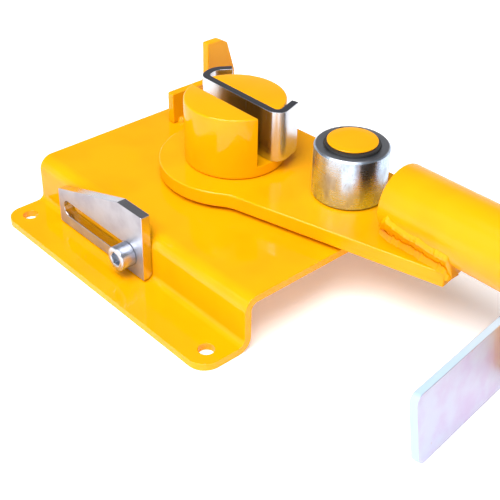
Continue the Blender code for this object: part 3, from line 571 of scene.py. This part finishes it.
def skinned(rings):
    """A closed shape: a skin over rings of points, and a face on the first and the last."""
    shape = bmesh.new()
    rings = [[shape.verts.new(point) for point in ring] for ring in rings]
    for before, after in zip(rings, rings[1:]):
        for i in range(len(before)):
            shape.faces.new((before[i - 1], before[i], after[i], after[i - 1]))
    shape.faces.new(rings[0][::-1])
    shape.faces.new(rings[-1])
    return shape


def raised(outline, low, high, turn=None):
    """An outline raised from low to high along Z, then turned."""
    shape = bmesh.new()
    face = shape.faces.new([shape.verts.new((p[0], p[1], low)) for p in outline])
    top = bmesh.ops.extrude_face_region(shape, geom=[face])["geom"]
    bmesh.ops.translate(shape, verts=[g for g in top if isinstance(g, bmesh.types.BMVert)], vec=(0, 0, high - low))
    bmesh.ops.recalc_face_normals(shape, faces=shape.faces)
    return turned(shape, turn)


def lathed(profile, steps=ROUND, turn=None):
    """A closed (radius, height) profile spun round Z, then turned."""
    shape = bmesh.new()
    verts = [shape.verts.new((r, 0, z)) for r, z in profile]
    edges = [shape.edges.new((verts[i - 1], verts[i])) for i in range(len(verts))]
    bmesh.ops.spin(shape, geom=verts + edges, axis=(0, 0, 1), cent=(0, 0, 0), angle=math.tau, steps=steps,
                   use_merge=True)
    bmesh.ops.remove_doubles(shape, verts=shape.verts, dist=MERGE)
    bmesh.ops.delete(shape, geom=[e for e in shape.edges if not e.link_faces], context="EDGES")
    bmesh.ops.recalc_face_normals(shape, faces=shape.faces)
    return turned(shape, turn)


def rod(radius, low, high, steps=SMALL, turn=None):
    return lathed([(0, low), (radius, low), (radius, high), (0, high)], steps, turn)


def drill(radius, low, high, steps=SMALL, turn=None):
    """A rod that cuts right through what lies from low to high."""
    return rod(radius, low - OVERRUN, high + OVERRUN, steps, turn)


def moved(shape, *offset):
    bmesh.ops.translate(shape, verts=shape.verts, vec=offset)
    return shape


# Thread pitches of the post's screw, the foot's screws and the stop's screw
POST_PITCH, FOOT_PITCH, STOP_PITCH = 0.002, 0.00125, 0.0015


def threaded(radius, pitch, low, high):
    """A rod with a helical thread that runs out at both ends."""
    # In pitches: the groove's depth for each step down its flank, where the flank starts, and how slim the ends are
    slope, flank, slim = 0.55, 0.9, 0.35
    steps = 36
    rows_per_turn = 7
    count = round((high - low) / pitch * rows_per_turn)
    rings = []
    for j in range(count + 1):
        z = low + (high - low) * j / count
        run_out = min(1.0, (z - low) / pitch, (high - z) / pitch)
        ring = []
        for i in range(steps):
            crest = 1 - abs(2 * ((z / pitch - i / steps) % 1) - 1)
            r = radius - pitch * (slope * max(0.0, flank - crest) * run_out + slim * (1 - run_out))
            ring.append((*polar(r, math.tau * i / steps), z))
        rings.append(ring)
    return skinned(rings)


def linked(name, data):
    """An object in the scene from a mesh, light or camera."""
    thing = bpy.data.objects.new(name, data)
    bpy.context.scene.collection.objects.link(thing)
    return thing


def thing_of(name, shape):
    """An object in the scene from a shape, which is freed."""
    mesh = bpy.data.meshes.new(name)
    shape.to_mesh(mesh)
    shape.free()
    return linked(name, mesh)


def carve(shape, *cutters, operation="DIFFERENCE"):
    """A shape with others cut from it, or joined to it, or only what lies in them."""
    things = [thing_of("blank", blank) for blank in (shape, *cutters)]
    for cutter in things[1:]:
        change = things[0].modifiers.new("carve", "BOOLEAN")
        change.solver, change.operation, change.object = "EXACT", operation, cutter
    bpy.context.view_layer.update()
    carved = bpy.data.meshes.new_from_object(things[0].evaluated_get(bpy.context.evaluated_depsgraph_get()))
    result = bmesh.new()
    result.from_mesh(carved)
    for thing in things:
        mesh = thing.data
        bpy.data.objects.remove(thing)
        bpy.data.meshes.remove(mesh)
    bpy.data.meshes.remove(carved)
    bmesh.ops.remove_doubles(result, verts=result.verts, dist=MERGE)
    bmesh.ops.dissolve_limit(result, angle_limit=math.radians(0.4), verts=result.verts, edges=result.edges)
    return result


def hex_block(flats, low, high):
    """A hexagonal block with turned corners at both ends."""
    corner = flats / math.sqrt(3)
    face = flats / 2 * 0.96
    slope = (corner - face) * 0.55
    cone = lathed([(0, low), (face, low), (corner, low + slope), (corner, high - slope), (face, high), (0, high)],
                  SMALL)
    return carve(raised(hexagon(flats), low - OVERRUN, high + OVERRUN), cone, operation="INTERSECT")


def weld_bead(places, legs, ripple, seed):
    """A lumpy bead along corner places, each with its two legs as vectors, with rounded ends."""
    rings = []
    run = 0.0
    across = 9
    for j, place in enumerate(places):
        if j:
            run += (place - places[j - 1]).length
        end = min(j, len(places) - 1 - j) / (len(places) - 1) * 12
        swell = math.sqrt(max(0.0, 1 - (1 - min(1.0, end)) ** 2)) * 0.9 + 0.1
        lump = noise.noise(Vector((run * 240, seed, 0))) * 0.22
        beat = abs(math.sin(math.pi * run / ripple + 1.3 * noise.noise(Vector((run * 90, 7 + seed, 0)))))
        a, b = (leg * (1 + lump + 0.10 * beat) * swell for leg in legs[j])
        hump = (a + b) * CROWN * (0.92 + 0.22 * beat + lump)
        ring = [place]
        for i in range(across + 1):
            t = i / across
            ring.append(place + a * (1 - t) ** 2 + hump * 2 * t * (1 - t) + b * t ** 2)
        rings.append(ring)
    return skinned(rings)


def build(name, shape, look, body, node, place=None, rim=0.0, segments=3):
    """A piece from a shape: its edges softened, riding on a body and standing for a CAD node."""
    bmesh.ops.recalc_face_normals(shape, faces=shape.faces)
    piece = thing_of(name, shape)
    if place:
        piece.matrix_world = place
    mesh = piece.data
    mesh.materials.append(finished(look))
    mesh.shade_smooth()
    if rim:
        soft = piece.modifiers.new("soft_edges", "BEVEL")
        soft.width, soft.segments, soft.limit_method = rim, segments, "ANGLE"
        soft.angle_limit = SHARP
        soft.harden_normals = True
        soft.use_clamp_overlap = True
    else:
        mesh.set_sharp_from_angle(angle=SHARP)
    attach(piece, body)
    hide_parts(node)


def dress(name, look):
    """A new finish for a CAD node that stays as it is."""
    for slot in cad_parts[name].material_slots:
        slot.material = finished(look)


def centre_of(name):
    low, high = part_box(name)
    return (low + high) / 2


def half_width(name):
    low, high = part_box(name)
    return (high.x - low.x) / 2


# Pieces

class BENDER_OT_base_plate(Operator):
    """Builds the base, bent from one sheet, with its bench holes"""
    bl_idname = "bender.base_plate"
    bl_label = "Base plate"

    def execute(self, context):
        s = context.scene.bender_base
        low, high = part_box("base_plate")
        half = s.sheet / 2
        section = bent_strip(
            [(low.y - OVERRUN, low.z + half), (half - s.front, low.z + half), (half - s.front, high.z - half),
             (s.back - half, high.z - half), (s.back - half, low.z + half), (high.y + OVERRUN, low.z + half)],
            [s.bend] * 4, s.sheet)
        blank = oblong(low.x, high.x, low.y, high.y, s.corner)
        plate = carve(raised(section, low.x - OVERRUN, high.x + OVERRUN, SIDE_VIEW),
                      raised(blank, low.z - OVERRUN, high.z + OVERRUN), operation="INTERSECT")
        holes = [moved(drill(s.hole, low.z, low.z + s.sheet), x, y, 0)
                 for x in (low.x + s.hole_end, high.x - s.hole_end)
                 for y in (low.y + s.hole_edge, high.y - s.hole_edge)]
        for name in ("post_dowel_left", "post_dowel_right"):
            spot = centre_of(name)
            holes.append(moved(drill(half_width(name) + GAP, high.z - s.sheet, high.z), spot.x, spot.y, 0))
        holes.append(drill(context.scene.bender_post.bolt + GAP, high.z - s.sheet, high.z))
        spot = centre_of("stop_screw")
        screw = context.scene.bender_stop.screw + GAP
        bore = drill(screw, s.front - s.sheet, s.front, turn=FORWARD)
        holes.append(moved(bore, spot.x, 0, spot.z))
        build("bent_base", carve(plate, *holes), yellow_enamel, "base", "base_plate", rim=s.rim)
        return {"FINISHED"}


# Inside radii of the former's bends, from its curl to its right leg
FORMER_BENDS = (0.008, 0.004, 0.0028)


def former_plan(s, extra=0.0):
    """Plan of the former: two bends on the left, so its end curls, and one on the right."""
    line = s.face + s.thickness / 2
    left, right = Vector((-s.left, line)), Vector((s.right, line))
    way = math.pi - s.left_turn
    knee = left + polar(s.left_leg, way)
    end = knee + polar(s.curl, way - s.curl_turn)
    tip = right + polar(s.right_leg, s.right_way)
    if extra:
        end += (end - knee).normalized() * OVERRUN
        tip += (tip - right).normalized() * OVERRUN
    return bent_strip([end, knee, left, right, tip], [r - extra for r in FORMER_BENDS], s.thickness + 2 * extra)


class BENDER_OT_pivot_post(Operator):
    """Builds the slotted post, the screw and washer that hold it, and the thrust washer"""
    bl_idname = "bender.pivot_post"
    bl_label = "Pivot post"

    def execute(self, context):
        s = context.scene.bender_post
        former = context.scene.bender_former
        low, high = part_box("pivot_post")
        radius = high.x
        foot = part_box("lever_plate")[1].z + GAP
        profile = rounded([(0, low.z), (s.spigot, low.z), (s.spigot, foot), (radius, foot, s.rim),
                           (radius, high.z, s.rim), (0, high.z)], 6)
        back = former.face + former.thickness + GAP
        lip = s.rim
        top = high.z
        front_lip = arc(Vector((-s.slot_front - lip, top - lip)), lip, 0, math.pi / 2, 6)
        back_lip = arc(Vector((back + lip, top - lip)), lip, math.pi / 2, math.pi, 6)
        slot = [(-s.slot_front, 0.0), (back, 0.0), *back_lip[::-1], (back + lip, top + OVERRUN),
                (-s.slot_front - lip, top + OVERRUN), *front_lip[::-1]]
        span = radius + OVERRUN
        post = carve(lathed(profile), raised(slot, -span, span, SIDE_VIEW))
        post = carve(post, raised(former_plan(former, GAP), -GAP, top + OVERRUN))
        build("slotted_post", post, yellow_enamel, "base", "pivot_post", rim=0.0005, segments=2)

        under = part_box("post_bolt")[0].z
        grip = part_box("post_bolt")[1].z
        head = hex_block(s.bolt_flats, under, under + s.bolt_head)
        stem = threaded(s.bolt, POST_PITCH, under + s.bolt_head / 2, grip)
        build("post_screw", carve(head, stem, operation="UNION"), bright_screw, "base", "post_bolt")
        for node, name, look, inner in (("post_washer", "post_screw_washer", bright_screw, s.bolt + GAP),
                                        ("thrust_washer", "thrust_ring", bearing_bronze, s.spigot + GAP)):
            low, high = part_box(node)
            edge = (high.z - low.z) * 0.2
            build(name, lathed(oblong(inner, high.x, low.z, high.z, edge, 4)), look, "base", node)
        for node in ("post_dowel_left", "post_dowel_right"):
            dress(node, bright_screw)
        return {"FINISHED"}


class BENDER_OT_bar_former(Operator):
    """Builds the lift-out former, bent from flat bar"""
    bl_idname = "bender.bar_former"
    bl_label = "Former"

    def execute(self, context):
        s = context.scene.bender_former
        low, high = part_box("bar_former")
        bar = raised(former_plan(s), low.z, high.z)
        build("bent_former", bar, former_steel, "former", "bar_former", rim=s.rim)
        return {"FINISHED"}


class BENDER_OT_fence(Operator):
    """Builds the fence plate and its two weld beads"""
    bl_idname = "bender.fence"
    bl_label = "Fence"

    def execute(self, context):
        s = context.scene.bender_fence
        low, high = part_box("fence_plate")
        step = low.y + s.low_length
        edge = step + s.top_length
        corner = edge + s.corner_length
        drop = high.z - s.corner_drop
        outline = rounded([
            (low.y, low.z), (high.y - s.heel_length, low.z), (high.y, low.z + s.heel_height, 0.001),
            (high.y, drop - s.side_drop, 0.001), (corner, drop, 0.002), (edge, high.z, 0.002),
            (step, high.z, 0.001), (step, low.z + s.low_height - GAP, 0.002),
            (low.y, low.z + s.low_height - GAP, 0.001)], 5)
        blade = raised(outline, low.x, high.x, SIDE_VIEW)
        build("fence_blade", blade, yellow_enamel, "base", "fence_plate", rim=s.rim)
        first, last = low.y + s.weld, high.y - s.heel_length
        steps = 90
        for name, face, way in (("fence_weld_left", low.x, -1), ("fence_weld_right", high.x, 1)):
            places = [Vector((face, first + (last - first) * i / steps, low.z - GAP)) for i in range(steps + 1)]
            legs = [(Vector((way * s.weld, 0, 0)), Vector((0, 0, s.weld)))] * len(places)
            bead = weld_bead(places, legs, ripple=0.0026, seed=way)
            build(name.replace("weld", "bead"), bead, yellow_enamel, "base", name)
        return {"FINISHED"}


def lever_plan(s, tube):
    """Plan of the lever plate, from the ring's left side round its front to the nose and back."""
    normal = s.front_way - math.pi / 2
    lean = math.acos((s.front + s.fillet) / (s.ring + s.fillet))
    socket = normal + lean
    points = arc(Vector((0, 0)), s.ring, math.pi - math.atan2(s.back_raise, s.ring), math.tau + socket, 72)
    points += arc(polar(s.ring + s.fillet, socket), s.fillet, socket + math.pi, normal + math.pi, 16)[1:]
    along, across = polar(1, tube.way), polar(1, tube.way + math.pi / 2)
    middle = across * tube.offset
    front_way = polar(1, s.front_way)
    foot = polar(s.front, normal)
    front = foot + front_way * ((s.nose - foot.dot(along)) / front_way.dot(along))
    centre = Vector((s.back_shift, s.back_raise))
    start = centre + polar(s.ring + s.back_shift, s.back_way + math.pi / 2)
    shoulder = start + polar(s.back_length, s.back_way)
    tip = middle + along * (s.nose - s.slant) + across * s.half
    corners = [points[-1], (*front, s.nose_corner), (*tip, s.corner), (*shoulder, s.corner), start]
    points += rounded(corners, 8)[1:]
    return points + arc(centre, s.ring + s.back_shift, s.back_way + math.pi / 2, math.pi, 36)[1:-1]


def rail_of(tube):
    """The tube's frame: X along its axis, with the lever at rest."""
    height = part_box("lever_plate")[1].z + GAP + tube.radius
    spot = polar(tube.offset, tube.way + math.pi / 2)
    return Matrix.Translation((*spot, height)) @ Matrix.Rotation(tube.way, 4, "Z")


class BENDER_OT_lever_plate(Operator):
    """Builds the lever plate with its two bores"""
    bl_idname = "bender.lever_plate"
    bl_label = "Lever plate"

    def execute(self, context):
        scene = context.scene
        s = scene.bender_lever
        low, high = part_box("lever_plate")
        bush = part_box("lever_bush")[1].x + GAP
        axis = centre_of("roller_sleeve")
        tail = scene.bender_roller.tail + GAP
        plate = carve(raised(lever_plan(s, scene.bender_tube), low.z, high.z),
                      drill(bush, low.z, high.z, ROUND),
                      moved(drill(tail, low.z, high.z), axis.x, axis.y, 0))
        build("lever_arm_plate", plate, yellow_enamel, "lever", "lever_plate", rim=s.rim, segments=4)
        dress("lever_bush", bearing_bronze)
        dress("pin_weld", yellow_enamel)
        return {"FINISHED"}


class BENDER_OT_roller(Operator):
    """Builds the roller, its pin and the retaining ring"""
    bl_idname = "bender.roller"
    bl_label = "Roller"

    def execute(self, context):
        s = context.scene.bender_roller
        axis = centre_of("roller_sleeve")
        place = Matrix.Translation((axis.x, axis.y, 0))
        low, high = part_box("roller_sleeve")
        outer, inner = half_width("roller_sleeve"), half_width("roller_bush") + GAP
        c = s.chamfer
        barrel = rounded([(inner, low.z, 0.0003), (outer - c, low.z, 0.0003), (outer, low.z + c, 0.0004),
                          (outer, high.z - c, 0.0004), (outer - c, high.z, 0.0003), (inner, high.z, 0.0003)], 4)
        build("roller_barrel", lathed(barrel, FINE), turned_steel, "roller", "roller_sleeve", place)

        clip_low, clip_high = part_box("roller_clip")
        foot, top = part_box("roller_pin")[0].z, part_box("roller_pin")[1].z
        groove = s.pin - 0.0008
        pin = rounded([(0, foot), (s.tail, foot, 0.0004), (s.tail, low.z), (s.pin, low.z, 0.0003),
                       (s.pin, high.z), (groove, high.z), (groove, clip_high.z + GAP),
                       (s.pin, clip_high.z + GAP, 0.0001), (s.pin, top - 0.0002, 0.0007),
                       (s.pin * 0.7, top, 0.004), (0, top)], 6)
        build("roller_stud", lathed(pin, FINE), yellow_enamel, "lever", "roller_pin", place)

        # Retaining ring: widest opposite its opening, with an ear and a hole at each side of it
        inside = groove + GAP
        outside = inside + s.clip - s.shift
        half = s.opening / 2
        steps = 96
        steep = 2.2
        hole, hole_reach, hole_way = 0.0007, inside + 0.0022, half + 0.14
        ways = [half + (math.tau - s.opening) * i / steps for i in range(steps + 1)]
        ear = math.radians(16)
        rim = []
        for way in ways:
            past = max(0.0, 1 - (min(way, math.tau - way) - half) / ear)
            rim.append(polar(outside - s.shift * math.cos(way) + s.ear * min(1.0, past * steep), way))
        plan = [polar(inside, way) for way in ways] + rim[::-1]
        turn = Matrix.Rotation(s.direction, 4, "Z")
        holes = [moved(drill(hole, clip_low.z, clip_high.z, 20), *polar(hole_reach, way), 0)
                 for way in (hole_way, math.tau - hole_way)]
        ring = carve(raised(plan, clip_low.z, clip_high.z), *holes)
        build("retaining_ring", turned(ring, turn), black_spring_steel, "lever", "roller_clip", place, rim=0.0002,
              segments=2)
        dress("roller_bush", bearing_bronze)
        return {"FINISHED"}


def between(table, x):
    """The value at x on the line drawn through a table of (x, value)."""
    for (x0, v0), (x1, v1) in zip(table, table[1:]):
        if x <= x1:
            return v0 + (v1 - v0) * max(0.0, x - x0) / (x1 - x0)
    return table[-1][1]


def bend(a, b, c, count):
    """Points after a up to c on the curve that b pulls."""
    return [a * (1 - t) ** 2 + b * 2 * t * (1 - t) + c * t * t for t in [(i + 1) / count for i in range(count)]]


# How far the tube's beads run past the lever's nose, and where the welder left lumps in them
BEAD_PAST = 0.0032
LUMPS = (0.1365, 0.1495, 0.1585, 0.1715)
# How the upper and lower run of both beads lie along the tube: (place along it, value)
RIDGE_OUT = ((0.1235, 0.0106), (0.134, 0.0138), (0.154, 0.0139), (0.163, 0.0149), (0.177, 0.0156))
RIDGE_ANGLE = ((0.1235, 30.0), (0.1284, 40.0), (0.1325, 70.0), (0.136, 80.0), (0.140, 73.0), (0.150, 68.0),
               (0.158, 68.0), (0.165, 65.0), (0.182, 63.0))
RIDGE_PROUD = ((0.1235, 0.0003), (0.134, 0.0014), (0.182, 0.0019))


def tube_bead(s, side, last):
    """Two runs of weld in the wedge under the tube: one on the lever plate, one up the tube's flank."""
    steps = 260
    overhang = 0.0034
    skin = 0.0001
    sunk = 0.0008
    floor = -GAP - s.radius
    rings = []
    for j in range(steps + 1):
        t = j / steps
        x = s.bead_start + (last - s.bead_start) * t
        tail = min(1.0, t * steps / 12, (1 - t) * steps / 14)
        swell = math.sqrt(max(0.0, 1 - (1 - tail) ** 2))
        wave = noise.noise(Vector((x * 110, 3 + side, 0)))
        fine = noise.noise(Vector((x * 330, 11 + side, 0)))
        beat = abs(math.sin(math.pi * x / s.ripple + 2.5 * wave))
        lump = sum(math.exp(-((x - spot) / 0.0009) ** 2) for spot in LUMPS)
        drop = overhang * min(1.0, max(0.0, (x - last + overhang) / 0.0012))
        lip = s.lip * swell * (1 + 0.22 * fine + 0.10 * beat + 0.35 * lump)
        toe = s.toe + (between(RIDGE_OUT, x) - s.toe + 0.0004 * wave) * (0.5 + 0.5 * swell)
        turn = math.radians(between(RIDGE_ANGLE, x) + 2.5 * wave)
        proud = (between(RIDGE_PROUD, x) + 0.0002 * beat + 0.0002 * fine + 0.0005 * lump) * swell
        high = turn + math.radians(5) + proud / s.radius
        low = Vector((toe - 0.16 * lip, floor + 0.97 * lip))
        crest = Vector((math.sin(turn), -math.cos(turn))) * (s.radius + proud)
        middle = (low + crest) * 0.5
        crown = Vector((math.sin(high), -math.cos(high)))
        line = [Vector((toe + 0.62 * lip, floor)), Vector((toe + 0.42 * lip, floor + 0.28 * lip)),
                Vector((toe + 0.27 * lip, floor + 0.68 * lip)), Vector((toe + 0.06 * lip, floor + 0.97 * lip)), low]
        line += bend(low, middle - middle.normalized() * s.groove, crest, 12)
        line += bend(crest, (crest.normalized() + crown).normalized() * (s.radius + proud * 1.1), crown * s.radius, 8)
        for i, spot in enumerate(line[5:], 5):
            if spot.length < s.radius + skin * swell:
                line[i] = spot.normalized() * (s.radius + skin * swell)
        ring = [(s.root * 0.9, floor - drop)]
        ring += [(y, z - drop * max(0.0, 1 - max(0.0, z - floor) / 0.009)) for y, z in line]
        ring += [((s.radius - sunk) * math.sin(a), (sunk - s.radius) * math.cos(a)) for a in (high, turn * 0.7)]
        rings.append([(x, side * y, z) for y, z in ring])
    return skinned(rings)


class BENDER_OT_handle_tube(Operator):
    """Builds the handle tube, the plug in its far end and the two beads that weld it to the lever"""
    bl_idname = "bender.handle_tube"
    bl_label = "Handle tube"

    def execute(self, context):
        s = context.scene.bender_tube
        rail = rail_of(s)
        bore = s.radius - s.wall
        wall = oblong(bore, s.radius, s.start, s.end, 0.0007, 5)
        build("grip_tube", lathed(wall, FINE, ALONG), tube_enamel, "lever", "handle_tube", rail)
        cap = s.end + GAP
        inner = bore - GAP
        deep = cap - 0.018
        rib = 0.0008
        profile = [(0, deep), (inner - rib, deep, 0.0004)]
        for i in range(4):
            x = deep + 0.002 + i * 0.0038
            profile += [(inner - rib, x, 0.0002), (inner, x + 0.0009, 0.0002), (inner - rib, x + 0.0018, 0.0002)]
        profile += [(inner - 0.0004, cap), (s.radius, cap, 0.0004), (s.radius, cap + s.plug * 0.7, 0.0012),
                    (s.radius * 0.8, cap + s.plug, 0.003), (0, cap + s.plug)]
        build("tube_end_plug", lathed(rounded(profile, 4), ROUND, ALONG),
              moulded_plastic, "lever", "tube_plug", rail)

        last = context.scene.bender_lever.nose + BEAD_PAST
        for name, node, side in (("tube_bead_front", "tube_weld_front", -1), ("tube_bead_back", "tube_weld_back", 1)):
            build(name, tube_bead(s, side, last), yellow_enamel, "lever", node, rail)
        return {"FINISHED"}


def foot_frame(tube, foot):
    """The foot plate's frame at rest: X out of its face, Z up it, on the bench."""
    rail = rail_of(tube)
    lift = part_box("base_plate")[0].z + foot.thickness * math.sin(foot.lean) - rail.translation.z
    return rail @ Matrix.Translation((foot.reach, 0, lift)) @ Euler((0, -foot.lean, foot.skew)).to_matrix().to_4x4()


class BENDER_OT_lever_foot(Operator):
    """Builds the foot plate, the lug that carries it, their screws, nuts and weld beads"""
    bl_idname = "bender.lever_foot"
    bl_label = "Lever foot"

    def execute(self, context):
        s = context.scene.bender_foot
        tube = context.scene.bender_tube
        rail, place = rail_of(tube), foot_frame(tube, s)
        spots = [(way * s.pitch, s.level) for way in (-1, 1)]
        half, side = s.length_over / 2, s.lug_width / 2
        near, far = GAP, GAP + s.lug

        def holes():
            return [moved(drill(s.bolt + GAP, -s.thickness, far, COARSE, ALONG), 0, y, z)
                    for y, z in spots]

        outline = oblong(-half, half, 0, s.height, s.corner, 8)
        plate = carve(raised(outline, -s.thickness, 0, SIDE_VIEW), *holes())
        build("sliding_foot", plate, satin_zinc, "lever", "lever_foot", place, rim=s.rim)
        saddle = rod(tube.radius + GAP, s.reach - s.lug_top, s.reach + s.lug_top, ROUND, ALONG)
        turned(saddle, place.inverted() @ rail)
        block = rounded([(-side, s.lug_low, 0.006), (side, s.lug_low, 0.006), (side, s.lug_top, 0.001),
                         (-side, s.lug_top, 0.001)], 6)
        lug = carve(raised(block, near, far, SIDE_VIEW), saddle, *holes())
        build("lug_block", lug, yellow_enamel, "lever", "foot_lug", place, rim=s.rim)

        under, nut_face = -s.thickness - GAP, far + GAP
        tail = nut_face + s.nut + 0.0025
        for end, (y, z) in zip(("front", "back"), spots):
            spot = place @ Matrix.Translation((0, y, z))
            head = carve(hex_block(s.flats, under - s.head, under),
                         threaded(s.bolt, FOOT_PITCH, under - s.head / 2, tail), operation="UNION")
            build("foot_screw_" + end, turned(head, ALONG), bright_screw, "lever", "foot_bolt_" + end, spot)
            nut = carve(hex_block(s.flats, nut_face, nut_face + s.nut), rod(s.bolt + GAP, far - OVERRUN, tail, COARSE))
            build("foot_screw_nut_" + end, turned(nut, ALONG), bright_screw, "lever", "foot_nut_" + end, spot)

        # Beads round the tube on both faces of the lug
        local = rail.inverted() @ place
        normal, origin = local.to_3x3().col[0], local.translation
        leg = 0.004
        steps = 90
        for name, face, way in (("lug_bead_outer", far, 1), ("lug_bead_inner", near, -1)):
            places, legs = [], []
            for i in range(steps + 1):
                turn = math.radians(-38 + 76 * i / steps)
                out = Vector((0, math.sin(turn), -math.cos(turn)))
                point = out * tube.radius
                point.x = (face + normal.dot(origin) - normal.y * point.y - normal.z * point.z) / normal.x
                places.append(point)
                legs.append((Vector((way * leg, 0, 0)), out * leg))
            bead = weld_bead(places, legs, ripple=0.0028, seed=9 + way)
            build(name, bead, yellow_enamel, "lever", name.replace("bead", "weld"), rail)
        return {"FINISHED"}


class BENDER_OT_stop(Operator):
    """Builds the sliding stop, its socket screw and the nut behind the wall"""
    bl_idname = "bender.stop"
    bl_label = "Stop"

    def execute(self, context):
        s = context.scene.bender_stop
        low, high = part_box("stop_plate")
        axis = centre_of("stop_screw")
        place = Matrix.Translation((axis.x, 0, axis.z))
        left, right = low.x - axis.x, high.x - axis.x
        foot, top = low.z - axis.z, high.z - axis.z
        outline = rounded([(left, foot, 0.001), (right, foot, 0.001), (right, top, 0.001),
                           (right - s.flat, top, 0.001), (left, foot + s.low, 0.001)], 5)
        slot_left, slot_right = left + s.slot_left + s.slot, right - s.slot_right - s.slot
        slot = arc(Vector((slot_right, 0)), s.slot, -math.pi / 2, math.pi / 2, 24)
        slot += arc(Vector((slot_left, 0)), s.slot, math.pi / 2, math.pi * 1.5, 24)
        wedge = [(OVERRUN + high.y, foot - OVERRUN), (OVERRUN + high.y, foot + s.heel + OVERRUN),
                 (high.y - s.heel - OVERRUN, foot - OVERRUN)]
        bar = carve(raised(outline, -high.y, -low.y, FRONT_VIEW),
                    raised(slot, -high.y - OVERRUN, -low.y + OVERRUN, FRONT_VIEW),
                    raised(wedge, left - OVERRUN, right + OVERRUN, SIDE_VIEW))
        build("slotted_stop", bar, zinc_plating, "stop", "stop_plate", place, rim=s.rim)

        near, far = -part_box("stop_screw")[0].y, -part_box("stop_screw")[1].y
        under = near - s.head_length
        profile = rounded([(0, under - GAP), (s.head, under, 0.0003), (s.head, near, 0.0009),
                           (s.socket * 0.62, near, 0.0002), (s.socket * 0.55, near - 0.0005),
                           (0, near - 0.0005)], 5)
        hexagonal = raised(hexagon(s.socket), near - s.depth, near + OVERRUN)
        head = carve(lathed(profile, 96), threaded(s.screw, STOP_PITCH, far, under + 0.001), operation="UNION")
        head = carve(head, hexagonal)
        build("socket_screw", turned(head, FORWARD), bright_screw, "screw", "stop_screw", place)

        nut_near, nut_far = -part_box("stop_nut")[0].y, -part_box("stop_nut")[1].y
        nut = carve(hex_block(s.nut, nut_far, nut_near), drill(s.screw + GAP, nut_far, nut_near))
        build("stop_screw_nut", turned(nut, FORWARD), bright_screw, "base", "stop_nut", place)
        return {"FINISHED"}


# Stage

def softbox(name, spot, aim, size, power):
    light = bpy.data.lights.new(name, "AREA")
    light.shape, light.size, light.size_y, light.energy = "RECTANGLE", size[0], size[1], power
    lamp = linked(name, light)
    lamp.location = spot
    lamp.rotation_euler = (Vector(aim) - Vector(spot)).to_track_quat("-Z", "Y").to_euler()


class BENDER_OT_stage(Operator):
    """Builds the floor, the lights and the camera"""
    bl_idname = "bender.stage"
    bl_label = "Stage"

    def execute(self, context):
        s = context.scene.bender_stage
        scene = context.scene
        sheet = bmesh.new()
        bmesh.ops.create_grid(sheet, x_segments=2, y_segments=2, size=6.0)
        floor = thing_of("pale_floor", sheet)
        floor.data.materials.append(finished(floor_paper))
        floor.location.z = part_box("base_plate")[0].z

        camera = linked("camera", bpy.data.cameras.new("camera"))
        camera.location, camera.rotation_euler = s.camera, s.turn
        camera.data.lens, camera.data.sensor_width = s.lens, SENSOR
        camera.data.shift_x, camera.data.shift_y = s.shift
        scene.camera = camera

        # White walls whose light fades towards the ceiling
        world = bpy.data.worlds.new("studio")
        world.use_nodes = True
        walls = Nodes(world.node_tree)
        light = world.node_tree.nodes["Background"].inputs
        walls.put(light["Color"], (1.0, 1.0, 1.0, 1.0))
        walls.put(light["Strength"], walls.step(walls.axis("Z", "Generated"), 0.15, 0.5, s.walls, s.ceiling))
        scene.world = world
        softbox("overhead_softbox", (0.2, -0.70, 1.38), (0.05, 0.0, 0.0), (1.4, 1.2), s.overhead)
        softbox("front_softbox", (-0.5, -1.3, 0.9), (0.0, 0.0, 0.0), (1.0, 0.7), s.front)
        softbox("side_softbox", (1.3, -0.7, 0.35), (0.15, 0.0, 0.0), (1.2, 0.5), s.side)
        scene.view_settings.view_transform = "Standard"
        scene.view_settings.look = "None"
        return {"FINISHED"}


STEPS = (BENDER_OT_base_plate, BENDER_OT_pivot_post, BENDER_OT_bar_former, BENDER_OT_fence, BENDER_OT_lever_plate,
         BENDER_OT_roller, BENDER_OT_handle_tube, BENDER_OT_lever_foot, BENDER_OT_stop, BENDER_OT_stage)
GROUPS = {"bender_colours": BenderColours, "bender_base": BenderBase, "bender_post": BenderPost,
          "bender_former": BenderFormer, "bender_fence": BenderFence, "bender_lever": BenderLever,
          "bender_roller": BenderRoller, "bender_tube": BenderTube, "bender_foot": BenderFoot,
          "bender_stop": BenderStop, "bender_stage": BenderStage}


class BENDER_PT_pieces(Panel):
    """Lists the bender's pieces and their settings"""
    bl_idname = "BENDER_PT_pieces"
    bl_label = "Rebar bender"
    bl_space_type = "VIEW_3D"
    bl_region_type = "UI"
    bl_category = "Bender"

    def draw(self, context):
        for step in STEPS:
            self.layout.operator(step.bl_idname)
        for name in GROUPS:
            box = self.layout.box()
            settings = getattr(context.scene, name)
            for key in settings.bl_rna.properties.keys():
                if key not in ("rna_type", "name"):
                    box.prop(settings, key)


def register():
    for name, group in GROUPS.items():
        bpy.utils.register_class(group)
        setattr(bpy.types.Scene, name, PointerProperty(type=group))
    for part in (*STEPS, BENDER_PT_pieces):
        bpy.utils.register_class(part)


def unregister():
    for part in (BENDER_PT_pieces, *reversed(STEPS)):
        bpy.utils.unregister_class(part)
    for name, group in GROUPS.items():
        delattr(bpy.types.Scene, name)
        bpy.utils.unregister_class(group)


def main():
    register()
    for step in STEPS:
        getattr(bpy.ops.bender, step.bl_idname.split(".")[1])()


if __name__ == "__main__":
    main()
